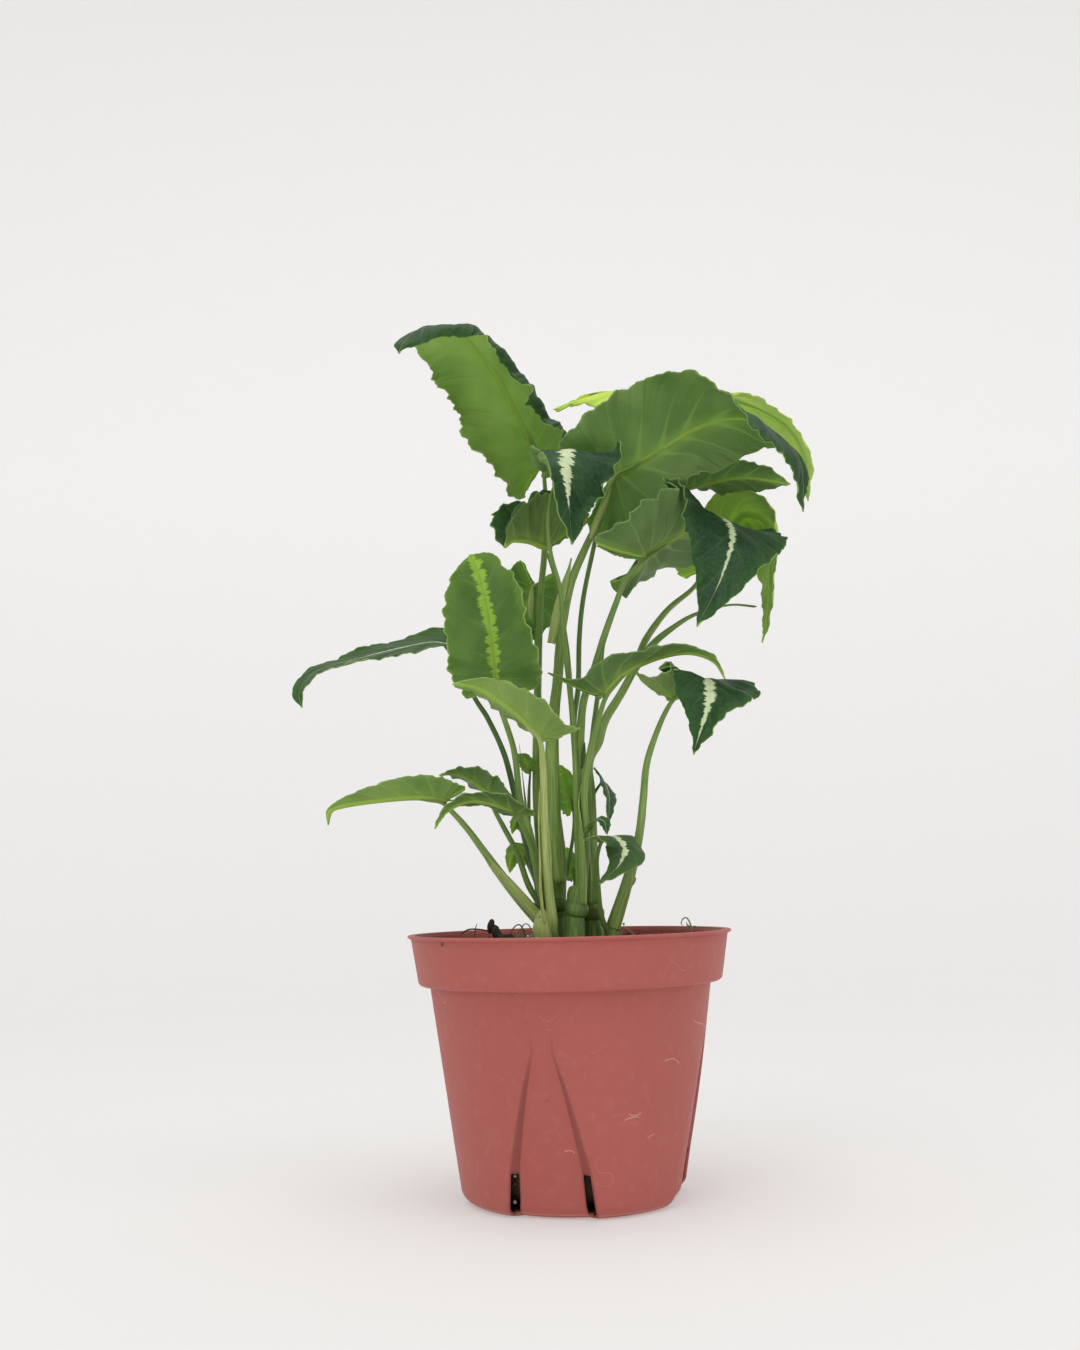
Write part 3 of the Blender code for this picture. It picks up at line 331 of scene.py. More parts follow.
# Sheaths: thin sheets that wrap a stalk's lower part and end in a point.
# Each: route from the foot up, radii, how far round they reach in degrees, turn, tone
SHEATHS = {
    "shoot_left": [
        ([(-7, -12, 98), (-8, -14, 110), (-8, -17, 124), (-8, -19.5, 138), (-8.4, -20.4, 146)],
         (2.8, 2.4, 2.2, 2.1, 1.6), 230, -60, 1.0),
        ([(-9, -8, 97), (-16, -9.6, 105), (-23, -11, 114), (-30, -13, 124)],
         (2.6, 2.4, 2.1, 1.6), 220, 60, 0.8),
    ],
    "shoot_front": [
        ([(6.4, -5, 104), (6.8, -6.4, 118), (6.8, -6.8, 132), (6.6, -6.4, 142), (7.6, -5.4, 150)],
         (3.0, 2.9, 2.7, 2.3, 1.0), 235, -20, 0.55),
    ],
    "shoot_middle": [
        ([(-4.4, 1, 112), (-5, 0.4, 130), (-5, 0, 150), (-4.6, -0.4, 170), (-2, -0.4, 190)],
         (3.6, 3.3, 3.0, 2.7, 1.6), 215, 140, 0.6),
        ([(-4, -1.5, 203), (-1.6, -2, 213), (1.4, -2.4, 224), (4.6, -2.6, 236)],
         (1.4, 1.9, 1.7, 0.7), 170, 100, 0.85),
    ],
    "shoot_right": [
        ([(16.5, 0, 95), (19.4, -1, 103), (23, -3, 113), (26, -4.6, 124)],
         (2.9, 2.6, 2.4, 1.4), 220, 30, 0.65),
    ],
    "shoot_back": [
        ([(9, 6.4, 104), (9, 6, 122), (9, 6, 140), (9.6, 6, 156)], (2.9, 2.8, 2.6, 1.4), 220, 120, 0.45),
    ],
}

# Tone of each stalk, from the shoot's first stalk on: 0 dark green, 1 pale yellow
TONES = {
    "shoot_left": (0.1, 0.45, 0.9, 0.6, 0.35, 0.4, 0.2, 0.3, 0.3, 0.3),
    "shoot_middle": (0.5, 0.6, 0.3, 0.3, 0.3),
    "shoot_front": (0.55, 0.5, 0.45, 0.45, 0.3),
    "shoot_back": (0.3, 0.35, 0.6, 0.3, 0.3),
    "shoot_right": (0.45, 0.3),
}


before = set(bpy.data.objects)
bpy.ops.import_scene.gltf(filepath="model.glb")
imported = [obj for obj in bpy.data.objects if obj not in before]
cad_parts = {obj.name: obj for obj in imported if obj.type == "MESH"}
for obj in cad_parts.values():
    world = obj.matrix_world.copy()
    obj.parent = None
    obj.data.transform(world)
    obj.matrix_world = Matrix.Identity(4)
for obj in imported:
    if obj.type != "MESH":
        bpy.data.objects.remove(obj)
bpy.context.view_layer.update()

def srgb(red, green, blue):
    """A linear colour from the usual 0 to 255 values."""
    parts = []
    for value in (red, green, blue):
        part = value / 255.0
        parts.append(part / 12.92 if part <= 0.04045 else ((part + 0.055) / 1.055) ** 2.4)
    return (*parts, 1.0)


class Sketch:
    """Adds nodes to the tree of a material or a group with short calls."""

    def __init__(self, tree):
        self.tree = tree
        tree.nodes.clear()

    def put(self, socket, value):
        """Link a socket to another node's output, or set its value."""
        if isinstance(value, bpy.types.NodeSocket):
            self.tree.links.new(value, socket)
        else:
            socket.default_value = value

    def node(self, kind, sockets=None, **settings):
        """A node with its settings and the values of its sockets."""
        made = self.tree.nodes.new(kind)
        for name, value in settings.items():
            setattr(made, name, value)
        for name, value in (sockets or {}).items():
            self.put(made.inputs[name], value)
        return made

    def math(self, operation, *values, clamp=False):
        made = self.node("ShaderNodeMath", operation=operation, use_clamp=clamp)
        for socket, value in zip(made.inputs, values):
            self.put(socket, value)
        return made.outputs[0]

    def mix(self, part, first, second):
        made = self.node("ShaderNodeMix", data_type="RGBA")
        for index, value in ((0, part), (6, first), (7, second)):
            self.put(made.inputs[index], value)
        return made.outputs[2]

    def step(self, value, low, high, start=0.0, end=1.0):
        """A smooth step of a value from one limit to another."""
        sockets = {"Value": value, "From Min": low, "From Max": high, "To Min": start, "To Max": end}
        return self.node("ShaderNodeMapRange", sockets, interpolation_type="SMOOTHSTEP").outputs[0]

    def noise(self, place, scale, detail=2.0):
        sockets = {"Vector": place, "Scale": scale, "Detail": detail}
        return self.node("ShaderNodeTexNoise", sockets).outputs[0]

    def fact(self, name):
        """A value that the mesh keeps at its points."""
        return self.node("ShaderNodeAttribute", attribute_name=name).outputs["Fac"]

    def join(self, x, y, z=0.0):
        return self.node("ShaderNodeCombineXYZ", {"X": x, "Y": y, "Z": z}).outputs[0]

    def place(self):
        return self.node("ShaderNodeTexCoord").outputs["Object"]

    def bump(self, height, distance, strength=1.0):
        sockets = {"Height": height, "Distance": distance, "Strength": strength}
        return self.node("ShaderNodeBump", sockets).outputs[0]


def new_group(name, entries, exits, draw):
    """A node group. entries: names of its numbers. exits: names and kinds. draw gives the exits."""
    tree = bpy.data.node_groups.new(name, "ShaderNodeTree")
    for label in entries:
        kind = "NodeSocketVector" if label == "Place" else "NodeSocketFloat"
        tree.interface.new_socket(name=label, in_out="INPUT", socket_type=kind)
    for label, kind in exits:
        tree.interface.new_socket(name=label, in_out="OUTPUT", socket_type=kind)
    sketch = Sketch(tree)
    entry = sketch.node("NodeGroupInput")
    last = sketch.node("NodeGroupOutput")
    given = draw(sketch, {label: entry.outputs[label] for label in entries})
    for (label, _), value in zip(exits, given):
        sketch.put(last.inputs[label], value)
    return tree


def new_material(name, draw, **values):
    """A Principled material. values are set on the shader; draw gives the sockets that vary."""
    made = bpy.data.materials.new(name)
    made.use_nodes = True
    sketch = Sketch(made.node_tree)
    shader = sketch.node("ShaderNodeBsdfPrincipled")
    last = sketch.node("ShaderNodeOutputMaterial")
    sketch.put(last.inputs["Surface"], shader.outputs[0])
    for label, value in values.items():
        shader.inputs[label.replace("_", " ")].default_value = value
    for label, value in draw(sketch).items():
        sketch.put(shader.inputs[label], value)
    return made


# Effects

def draw_side_veins(sketch, given):
    """Side veins: lines where the vein count is whole, and a fine web of lines between them."""
    part = sketch.math("FRACT", given["Vein"])
    off = sketch.math("ABSOLUTE", sketch.math("SUBTRACT", part, 0.5))
    off = sketch.math("MULTIPLY", sketch.math("SUBTRACT", 0.5, off), given["Spacing"])
    line = sketch.step(off, 0.0, given["Width"], 1.0, 0.0)
    across = sketch.join(sketch.math("MULTIPLY", given["Vein"], 5.0), sketch.math("MULTIPLY", given["Rib"], 0.5))
    fine = sketch.noise(across, 1.7, 3.0)
    web = sketch.step(sketch.math("ABSOLUTE", sketch.math("SUBTRACT", fine, 0.5)), 0.0, 0.03, 1.0, 0.0)
    return line, web


def draw_stripe(sketch, given):
    """The pale stripe along the midrib, with fine spikes out to both sides."""
    coarse = sketch.noise(sketch.join(sketch.math("MULTIPLY", given["Along"], 0.45),
                                      sketch.math("MULTIPLY", given["Rib"], 0.10)), 1.0, 3.0)
    spikes = sketch.noise(sketch.join(sketch.math("MULTIPLY", given["Along"], 2.6),
                                      sketch.math("MULTIPLY", given["Rib"], 0.12)), 1.0, 2.0)
    coarse = sketch.step(coarse, 0.32, 0.62)
    spikes = sketch.step(spikes, 0.3, 0.7)
    reach = sketch.math("ADD", sketch.math("MULTIPLY", coarse, 0.75), sketch.math("MULTIPLY", spikes, 0.55))
    reach = sketch.math("MULTIPLY", reach, given["Half width"])
    off = sketch.math("SUBTRACT", given["Rib"], reach)
    return (sketch.step(off, -0.25, 0.2, 1.0, 0.0),)


LEAF_FACTS = ("vein", "rib", "along", "edge", "stripe", "young", "under", "spacing")
STALK_FACTS = ("along", "ring_x", "ring_y", "tone", "brown")


def use_group(sketch, tree, **sockets):
    made = sketch.node("ShaderNodeGroup", node_tree=tree)
    for label, value in sockets.items():
        sketch.put(made.inputs[label.replace("_", " ")], value)
    return made.outputs


def draw_upper(sketch):
    """Upper side: velvety dark green, with a pale stripe, faint veins and a thin pale margin."""
    fact = {name: sketch.fact(name) for name in LEAF_FACTS}
    place = sketch.place()
    patches = sketch.step(sketch.noise(place, 48.0, 3.0), 0.3, 0.7)
    velvet = sketch.noise(place, 700.0, 3.0)
    dark = sketch.mix(patches, srgb(24, 52, 32), srgb(42, 74, 40))
    mid = sketch.mix(patches, srgb(92, 124, 58), srgb(116, 146, 78))
    bright = sketch.mix(patches, srgb(168, 204, 62), srgb(190, 220, 88))
    colour = sketch.mix(sketch.step(fact["young"], 0.0, 0.5), dark, mid)
    colour = sketch.mix(sketch.step(fact["young"], 0.5, 1.0), colour, bright)
    colour = sketch.mix(sketch.step(velvet, 0.35, 0.75, 0.0, 0.16), colour, srgb(96, 128, 92))
    green = sketch.step(fact["edge"], 0.0, 7.0, 0.35, 0.0)
    colour = sketch.mix(green, colour, sketch.mix(fact["young"], srgb(66, 108, 44), srgb(170, 205, 70)))
    veins = use_group(sketch, SIDE_VEINS, Vein=fact["vein"], Rib=fact["rib"], Spacing=fact["spacing"],
                      Width=0.4)
    pale = sketch.mix(fact["young"], srgb(84, 122, 76), srgb(196, 218, 120))
    near = sketch.step(fact["rib"], 2.0, 12.0, 0.26, 0.08)
    colour = sketch.mix(sketch.math("MULTIPLY", veins[0], near), colour, pale)
    colour = sketch.mix(sketch.math("MULTIPLY", veins[1], 0.10), colour, pale)
    stripe = use_group(sketch, STRIPE, Along=fact["along"], Rib=fact["rib"], Half_width=fact["stripe"])[0]
    cream = sketch.mix(sketch.noise(place, 520.0), srgb(196, 216, 150), srgb(236, 240, 214))
    lime = sketch.mix(sketch.noise(place, 520.0), srgb(150, 192, 62), srgb(182, 212, 96))
    cream = sketch.mix(sketch.step(fact["young"], 0.2, 0.4), cream, lime)
    colour = sketch.mix(sketch.math("MULTIPLY", stripe, 0.95), colour, cream)
    rib = sketch.math("MULTIPLY", sketch.step(fact["rib"], 0.15, 0.45, 0.6, 0.0), fact["young"])
    colour = sketch.mix(rib, colour, srgb(120, 156, 70))
    margin = sketch.step(fact["edge"], 0.1, 0.4, 0.4, 0.0)
    colour = sketch.mix(margin, colour, srgb(128, 158, 92))
    height = sketch.math("ADD", sketch.math("MULTIPLY", veins[0], -0.6), sketch.math("MULTIPLY", velvet, 0.25))
    height = sketch.math("SUBTRACT", height, sketch.math("MULTIPLY", veins[1], 0.15))
    rough = sketch.step(patches, 0.0, 1.0, 0.45, 0.58)
    return {"Base Color": colour, "Roughness": rough, "Normal": sketch.bump(height, 0.00015)}


def draw_under(sketch):
    """Under side: lighter green, with raised paler veins and a yellow glow by the midrib."""
    fact = {name: sketch.fact(name) for name in LEAF_FACTS}
    place = sketch.place()
    patches = sketch.step(sketch.noise(place, 42.0, 3.0), 0.3, 0.7)
    grain = sketch.noise(place, 1000.0, 2.0)
    dull = sketch.mix(patches, srgb(72, 102, 56), srgb(98, 128, 74))
    light = sketch.mix(patches, srgb(164, 194, 98), srgb(198, 218, 124))
    colour = sketch.mix(sketch.step(fact["under"], 0.1, 1.0), dull, light)
    colour = sketch.mix(sketch.math("MULTIPLY", grain, 0.14), colour, srgb(160, 180, 130))
    veins = use_group(sketch, SIDE_VEINS, Vein=fact["vein"], Rib=fact["rib"], Spacing=fact["spacing"],
                      Width=0.55)
    uneven = sketch.math("ADD", fact["rib"], sketch.math("MULTIPLY", grain, 3.0))
    glow = sketch.step(uneven, 1.6, 7.0, 0.45, 0.0)
    colour = sketch.mix(glow, colour, srgb(146, 178, 74))
    near = sketch.step(fact["rib"], 2.0, 20.0, 0.42, 0.14)
    colour = sketch.mix(sketch.math("MULTIPLY", veins[0], near), colour, srgb(158, 186, 100))
    colour = sketch.mix(sketch.math("MULTIPLY", veins[1], 0.24), colour, srgb(140, 168, 96))
    rib = sketch.step(fact["rib"], 0.6, 1.1, 0.8, 0.0)
    colour = sketch.mix(rib, colour, srgb(164, 196, 84))
    margin = sketch.step(fact["edge"], 0.1, 0.4, 0.35, 0.0)
    colour = sketch.mix(margin, colour, srgb(160, 184, 118))
    height = sketch.math("ADD", veins[0], sketch.math("MULTIPLY", veins[1], 0.3))
    return {"Base Color": colour, "Normal": sketch.bump(height, 0.0002)}


def draw_stalk(sketch):
    """Stalks: streaked lengthwise, paler or darker by tone, browned in places."""
    place = sketch.place()
    tone = sketch.fact("tone")
    brown = sketch.fact("brown")
    lines = sketch.join(sketch.math("MULTIPLY", sketch.fact("ring_x"), 3.0),
                        sketch.math("MULTIPLY", sketch.fact("ring_y"), 3.0),
                        sketch.math("MULTIPLY", sketch.fact("along"), 0.04))
    streaks = sketch.step(sketch.noise(lines, 2.2, 4.0), 0.3, 0.7)
    dark = sketch.mix(streaks, srgb(48, 84, 30), srgb(84, 120, 50))
    mid = sketch.mix(streaks, srgb(104, 142, 58), srgb(150, 180, 92))
    pale = sketch.mix(streaks, srgb(168, 190, 98), srgb(206, 218, 140))
    colour = sketch.mix(sketch.step(tone, 0.0, 0.5), dark, mid)
    colour = sketch.mix(sketch.step(tone, 0.5, 1.0), colour, pale)
    spots = sketch.step(sketch.noise(place, 420.0, 3.0), 0.6, 0.72)
    amount = sketch.math("ADD", sketch.math("MULTIPLY", brown, 1.6), 0.1)
    spots = sketch.math("MULTIPLY", spots, amount, clamp=True)
    stained = sketch.step(sketch.math("ADD", brown, sketch.math("MULTIPLY", streaks, 0.4)), 0.55, 1.0)
    colour = sketch.mix(stained, colour, srgb(98, 64, 36))
    colour = sketch.mix(spots, colour, srgb(84, 58, 34))
    height = sketch.math("ADD", streaks, sketch.noise(place, 900.0))
    return {"Base Color": colour, "Normal": sketch.bump(height, 0.00012)}


# Marks on the pot, seen in the photograph. Each: place in millimetres, radius, dark or light
SPECKS = [
    (-43.5, -38.5, 92.0, 1.1, 0), (-13.2, -54.0, 71.0, 1.3, 0), (24.5, -47.0, 60.0, 0.7, 0),
    (31.0, -34.0, 22.0, 0.8, 0), (-8.5, -44.0, 40.0, 0.6, 0), (-10.5, -43.0, 29.0, 0.7, 0),
    (3.2, -56.6, 90.6, 0.2, 1), (8.8, -57.0, 80.0, 0.2, 1), (-33.0, -36.0, 41.0, 0.2, 1),
    (17.0, -50.0, 78.0, 0.4, 0), (46.0, -27.0, 72.5, 0.6, 0),
]

# Thin pale scratches on the front, as bits of circles. Each: circle's middle across and up, radius,
# the bit's middle across and up, and how far it reaches
SCRATCHES = [
    (33.0, 47.0, 4.4, 34.5, 51.2, 3.4), (20.0, 27.0, 6.5, 19.5, 33.4, 3.0),
    (21.0, 38.0, 4.0, 20.6, 34.0, 2.6), (-2.0, 20.0, 3.2, -1.6, 23.2, 2.2),
    (38.0, 50.0, 14.0, 46.5, 61.0, 5.0), (29.0, 18.0, 9.0, 26.0, 26.4, 1.6),
]


def draw_pot(sketch):
    """Moulded plastic: a dusty rose colour with specks, small scuffs and a pale mould line, and painted shade
    darkening the webs beside the tongues.
    """
    place = sketch.place()
    parts = sketch.node("ShaderNodeSeparateXYZ", {"Vector": place}).outputs
    height = sketch.math("MULTIPLY", parts["Z"], 1000.0)
    patches = sketch.noise(place, 22.0, 4.0)
    dust = sketch.noise(place, 260.0, 6.0)
    colour = sketch.mix(patches, srgb(176, 89, 81), srgb(188, 101, 92))
    colour = sketch.mix(sketch.step(dust, 0.5, 0.8, 0.0, 0.10), colour, srgb(206, 164, 150))
    flecks = sketch.step(sketch.noise(place, 1500.0, 2.0), 0.72, 0.78, 0.0, 0.6)
    colour = sketch.mix(flecks, colour, srgb(120, 66, 60))
    bend = sketch.noise(place, 60.0, 1.0)
    ridge = sketch.math("ABSOLUTE", sketch.math("SUBTRACT", sketch.noise(place, 95.0, 0.0), 0.5))
    scuffs = sketch.math("MULTIPLY", sketch.step(ridge, 0.0, 0.004, 1.0, 0.0), sketch.step(bend, 0.58, 0.66))
    colour = sketch.mix(sketch.math("MULTIPLY", scuffs, 0.5), colour, srgb(218, 176, 162))
    line = sketch.step(sketch.math("ABSOLUTE", sketch.math("SUBTRACT", height, 1.4)), 0.1, 0.45, 0.55, 0.0)
    colour = sketch.mix(line, colour, srgb(206, 148, 136))
    flat = sketch.join(sketch.math("MULTIPLY", parts["X"], 1000.0), 0.0, height)
    wobble = sketch.math("MULTIPLY", sketch.math("SUBTRACT", dust, 0.5), 1.6)
    for x, z, radius, near_x, near_z, reach in SCRATCHES:
        off = sketch.node("ShaderNodeVectorMath", operation="DISTANCE")
        sketch.put(off.inputs[0], flat)
        off.inputs[1].default_value = (x, 0.0, z)
        near = sketch.node("ShaderNodeVectorMath", operation="DISTANCE")
        sketch.put(near.inputs[0], flat)
        near.inputs[1].default_value = (near_x, 0.0, near_z)
        ring = sketch.math("ADD", sketch.math("SUBTRACT", off.outputs["Value"], radius), wobble)
        mark = sketch.step(sketch.math("ABSOLUTE", ring), 0.1, 0.3, 0.45, 0.0)
        mark = sketch.math("MULTIPLY", mark, sketch.step(near.outputs["Value"], reach * 0.7, reach, 1.0, 0.0))
        mark = sketch.math("MULTIPLY", mark, sketch.step(parts["Y"], -0.012, -0.01, 1.0, 0.0))
        colour = sketch.mix(mark, colour, srgb(226, 178, 164))
    for x, y, z, radius, light in SPECKS:
        off = sketch.node("ShaderNodeVectorMath", operation="DISTANCE")
        sketch.put(off.inputs[0], place)
        off.inputs[1].default_value = (x * MM, y * MM, z * MM)
        wide = sketch.math("ADD", off.outputs["Value"], sketch.math("MULTIPLY", dust, 0.0012))
        mark = sketch.step(wide, (radius + 0.3) * MM, (radius + 0.9) * MM, 0.8, 0.0)
        colour = sketch.mix(mark, colour, srgb(232, 206, 194) if light else srgb(92, 54, 44))
    # Painted shade: the webs beside the pushed in tongues are darkened to a deep red, as if in shadow.
    colour = sketch.mix(sketch.math("MULTIPLY", sketch.fact("painted_web_shade"), 0.45), colour, srgb(98, 36, 34))
    grain = sketch.math("ADD", dust, sketch.noise(place, 900.0))
    rough = sketch.step(patches, 0.3, 0.7, 0.5, 0.62)
    return {"Base Color": colour, "Roughness": rough, "Normal": sketch.bump(grain, 0.00005)}


def draw_soil(sketch):
    place = sketch.place()
    colour = sketch.mix(sketch.noise(place, 160.0, 6.0), srgb(24, 18, 14), srgb(78, 58, 42))
    return {"Base Color": colour, "Normal": sketch.bump(sketch.noise(place, 500.0, 6.0), 0.0012)}


def draw_grains(sketch):
    """Loose bits of soil, each with its own shade: dark, brown or white."""
    place = sketch.place()
    shade = sketch.fact("shade")
    rough = sketch.noise(place, 700.0, 3.0)
    colour = sketch.mix(rough, srgb(20, 15, 12), srgb(62, 46, 34))
    bark = sketch.mix(rough, srgb(70, 48, 32), srgb(120, 88, 58))
    white = sketch.mix(rough, srgb(178, 172, 158), srgb(226, 222, 212))
    colour = sketch.mix(sketch.step(shade, 0.3, 0.5), colour, bark)
    colour = sketch.mix(sketch.step(shade, 0.7, 0.8), colour, white)
    return {"Base Color": colour, "Normal": sketch.bump(rough, 0.0003)}


def draw_paper(sketch):
    """Pale paper, a little darker on the floor round the pot than far from it. It also glows: painted light that
    pales the shadows falling on it.
    """
    away = sketch.node("ShaderNodeVectorMath", operation="LENGTH")
    sketch.put(away.inputs[0], sketch.place())
    wall = sketch.step(away.outputs["Value"], 0.2, 3.0)
    # Painted light: the emission makes the paper glow, which pales the shadows that fall on it.
    return {"Base Color": sketch.mix(wall, (0.58, 0.57, 0.56, 1.0), (0.8, 0.795, 0.79, 1.0)),
            "Emission Color": sketch.mix(wall, (0.30, 0.294, 0.29, 1.0), (0.36, 0.355, 0.352, 1.0))}


SIDE_VEINS = new_group("side veins", ["Vein", "Rib", "Spacing", "Width"],
                       [("Line", "NodeSocketFloat"), ("Web", "NodeSocketFloat")], draw_side_veins)
STRIPE = new_group("pale stripe", ["Along", "Rib", "Half width"], [("Part", "NodeSocketFloat")],
                   draw_stripe)
THIN = dict(Subsurface_Weight=0.5, Subsurface_Radius=(0.7, 1.0, 0.45), Subsurface_Scale=0.0015)
CLEAR = dict(Subsurface_Weight=0.7, Subsurface_Radius=(0.8, 1.0, 0.4), Subsurface_Scale=0.002)
UPPER = new_material("leaf upper side", draw_upper, Specular_IOR_Level=0.22, **THIN)
YOUNG_UPPER = new_material("young leaf upper side", draw_upper, Specular_IOR_Level=0.22, **CLEAR)
YOUNG_UNDER = new_material("young leaf under side", draw_under, Roughness=0.6,
                           Specular_IOR_Level=0.22, **CLEAR)
UNDER = new_material("leaf under side", draw_under, Roughness=0.6, Specular_IOR_Level=0.22, **THIN)
STALK = new_material("stalk", draw_stalk, Roughness=0.42)
POT = new_material("pot plastic", draw_pot, Specular_IOR_Level=0.4)
SOIL = new_material("potting mix", draw_soil, Roughness=0.95)
GRAINS = new_material("loose grains", draw_grains, Roughness=0.9)


# Curves

def smooth_path(points, count):
    """Evenly spaced points along a smooth curve through the given points."""
    spots = np.array(points, dtype=float)
    before = 2 * spots[0] - spots[1]
    after = 2 * spots[-1] - spots[-2]
    spots = np.vstack([before, spots, after])
    t = np.linspace(0.0, 1.0, 13)[:-1, None]
    parts = []
    for p0, p1, p2, p3 in zip(spots, spots[1:], spots[2:], spots[3:]):
        parts.append(0.5 * (2 * p1 + (p2 - p0) * t + (2 * p0 - 5 * p1 + 4 * p2 - p3) * t ** 2
                            + (3 * p1 - p0 - 3 * p2 + p3) * t ** 3))
    parts.append(spots[-2:-1])
    fine = np.vstack(parts)
    run = np.concatenate([[0.0], np.cumsum(np.linalg.norm(np.diff(fine, axis=0), axis=1))])
    even = np.linspace(0.0, run[-1], count)
    return np.stack([np.interp(even, run, fine[:, axis]) for axis in range(3)], axis=1)


def unit(vectors):
    """Vectors brought to length one."""
    return vectors / np.linalg.norm(vectors, axis=-1, keepdims=True)


def knots(values, u):
    """A smooth curve through evenly spaced values, read at u from 0 to 1."""
    values = np.array(values, dtype=float)
    ends = np.concatenate([[2 * values[0] - values[1]], values, [2 * values[-1] - values[-2]]])
    place = np.clip(u, 0.0, 1.0) * (len(values) - 1)
    cell = np.minimum(place.astype(int), len(values) - 2)
    t = place - cell
    p0, p1, p2, p3 = ends[cell], ends[cell + 1], ends[cell + 2], ends[cell + 3]
    return 0.5 * (2 * p1 + (p2 - p0) * t + (2 * p0 - 5 * p1 + 4 * p2 - p3) * t ** 2
                  + (3 * p1 - p0 - 3 * p2 + p3) * t ** 3)


def blade_spine(blade, count=80):
    """The midrib's points, directions and upper sides, and its length."""
    spine = smooth_path(blade["midrib"], count)
    forward = unit(np.gradient(spine, axis=0))
    face = np.array(blade["face"], dtype=float)
    part = np.linspace(0.0, len(face) - 1.0, count)
    hint = np.stack([np.interp(part, range(len(face)), face[:, axis]) for axis in range(3)], axis=1)
    up = unit(hint - forward * np.sum(hint * forward, axis=1, keepdims=True))
    length = float(np.sum(np.linalg.norm(np.diff(spine, axis=0), axis=1)))
    return spine, forward, up, length


# Shapes

def new_piece(name, mesh, materials, slot, *stands_for):
    """Link a mesh as a piece of the plant that rides on its one body."""
    made = bpy.data.objects.new(name, mesh)
    bpy.context.scene.collection.objects.link(made)
    mesh.materials.clear()
    for finish in materials:
        mesh.materials.append(finish)
    mesh.shade_smooth()
    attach(made, "root")
    if stands_for:
        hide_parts(*stands_for)
    return made


def new_work(*names):
    """An empty mesh to work on, with the values that its points keep."""
    bm = bmesh.new()
    for name in names:
        bm.verts.layers.float.new(name)
    return bm


def shaped_grid(bm, rows, columns, shape, weld=0.00003):
    """Add a grid to bm. shape takes arrays of x and y from 0 to 1 and gives the places in
    millimetres and the values that each point keeps. Seams and poles close by welding."""
    made = bmesh.ops.create_grid(bm, x_segments=rows, y_segments=columns, size=1.0)["verts"]
    grid = np.array([vert.co[:2] for vert in made])
    places, facts = shape((grid[:, 0] + 1.0) / 2.0, (grid[:, 1] + 1.0) / 2.0)
    for vert, place in zip(made, places * MM):
        vert.co = place
    for name, values in facts.items():
        layer = bm.verts.layers.float[name]
        for vert, value in zip(made, np.broadcast_to(values, len(made))):
            vert[layer] = value
    if weld:
        bmesh.ops.remove_doubles(bm, verts=made, dist=weld)


def to_mesh(name, bm, inside_out=False):
    """Close the mesh's work and give it as a mesh."""
    if inside_out:
        bmesh.ops.reverse_faces(bm, faces=bm.faces)
    mesh = bpy.data.meshes.new(name)
    bm.to_mesh(mesh)
    bm.free()
    return mesh


def blade_widths(blade):
    """How far across each knot of the blade's outline stands, as part of the half width."""
    across = [knot[0] for knot in OUTLINE]
    across[LOBE_KNOT] = blade["lobe_out"]
    across[LOBE_KNOT - 1] = 0.4 * blade["lobe_out"]
    across[LOBE_KNOT + 1] = 0.55 + 0.5 * blade["lobe_out"]
    for knot, more in FULLER.items():
        across[knot] += more * blade["full"]
    return across


def outline_run(blade, side):
    """The margin's flat places for many values of u, and how far round the margin each is."""
    _, _, _, length = blade_spine(blade)
    u = np.linspace(0.0, 1.0, 400)
    x = knots(blade_widths(blade), u) * blade["half_width"][side]
    y = knots([k[1] for k in OUTLINE], u) * blade["lobe"][side] + knots([k[2] for k in OUTLINE], u) * length
    run = np.concatenate([[0.0], np.cumsum(np.hypot(np.diff(x), np.diff(y)))])
    return u, run


def bend_across(flat_x, reach, width, cup, curl, roll):
    """How far out and up a point of a half lies, and its slope there: the half rises by cup,
    curls evenly and rolls over at its margin."""
    steps = 24
    out, rise = 0.0, 0.0
    for step in range(steps):
        part = (step + 0.5) / steps
        slope = cup + curl * part * flat_x / width + roll * np.clip((part * reach - 0.72) / 0.28, 0, 1) ** 1.3
        out = out + np.cos(slope)
        rise = rise + np.sin(slope)
    return out * flat_x / steps, rise * flat_x / steps, slope


# A fine blade is a hair smaller than its solid, so that its teeth and rolled edges stay inside
BLADE_FIT = 0.99


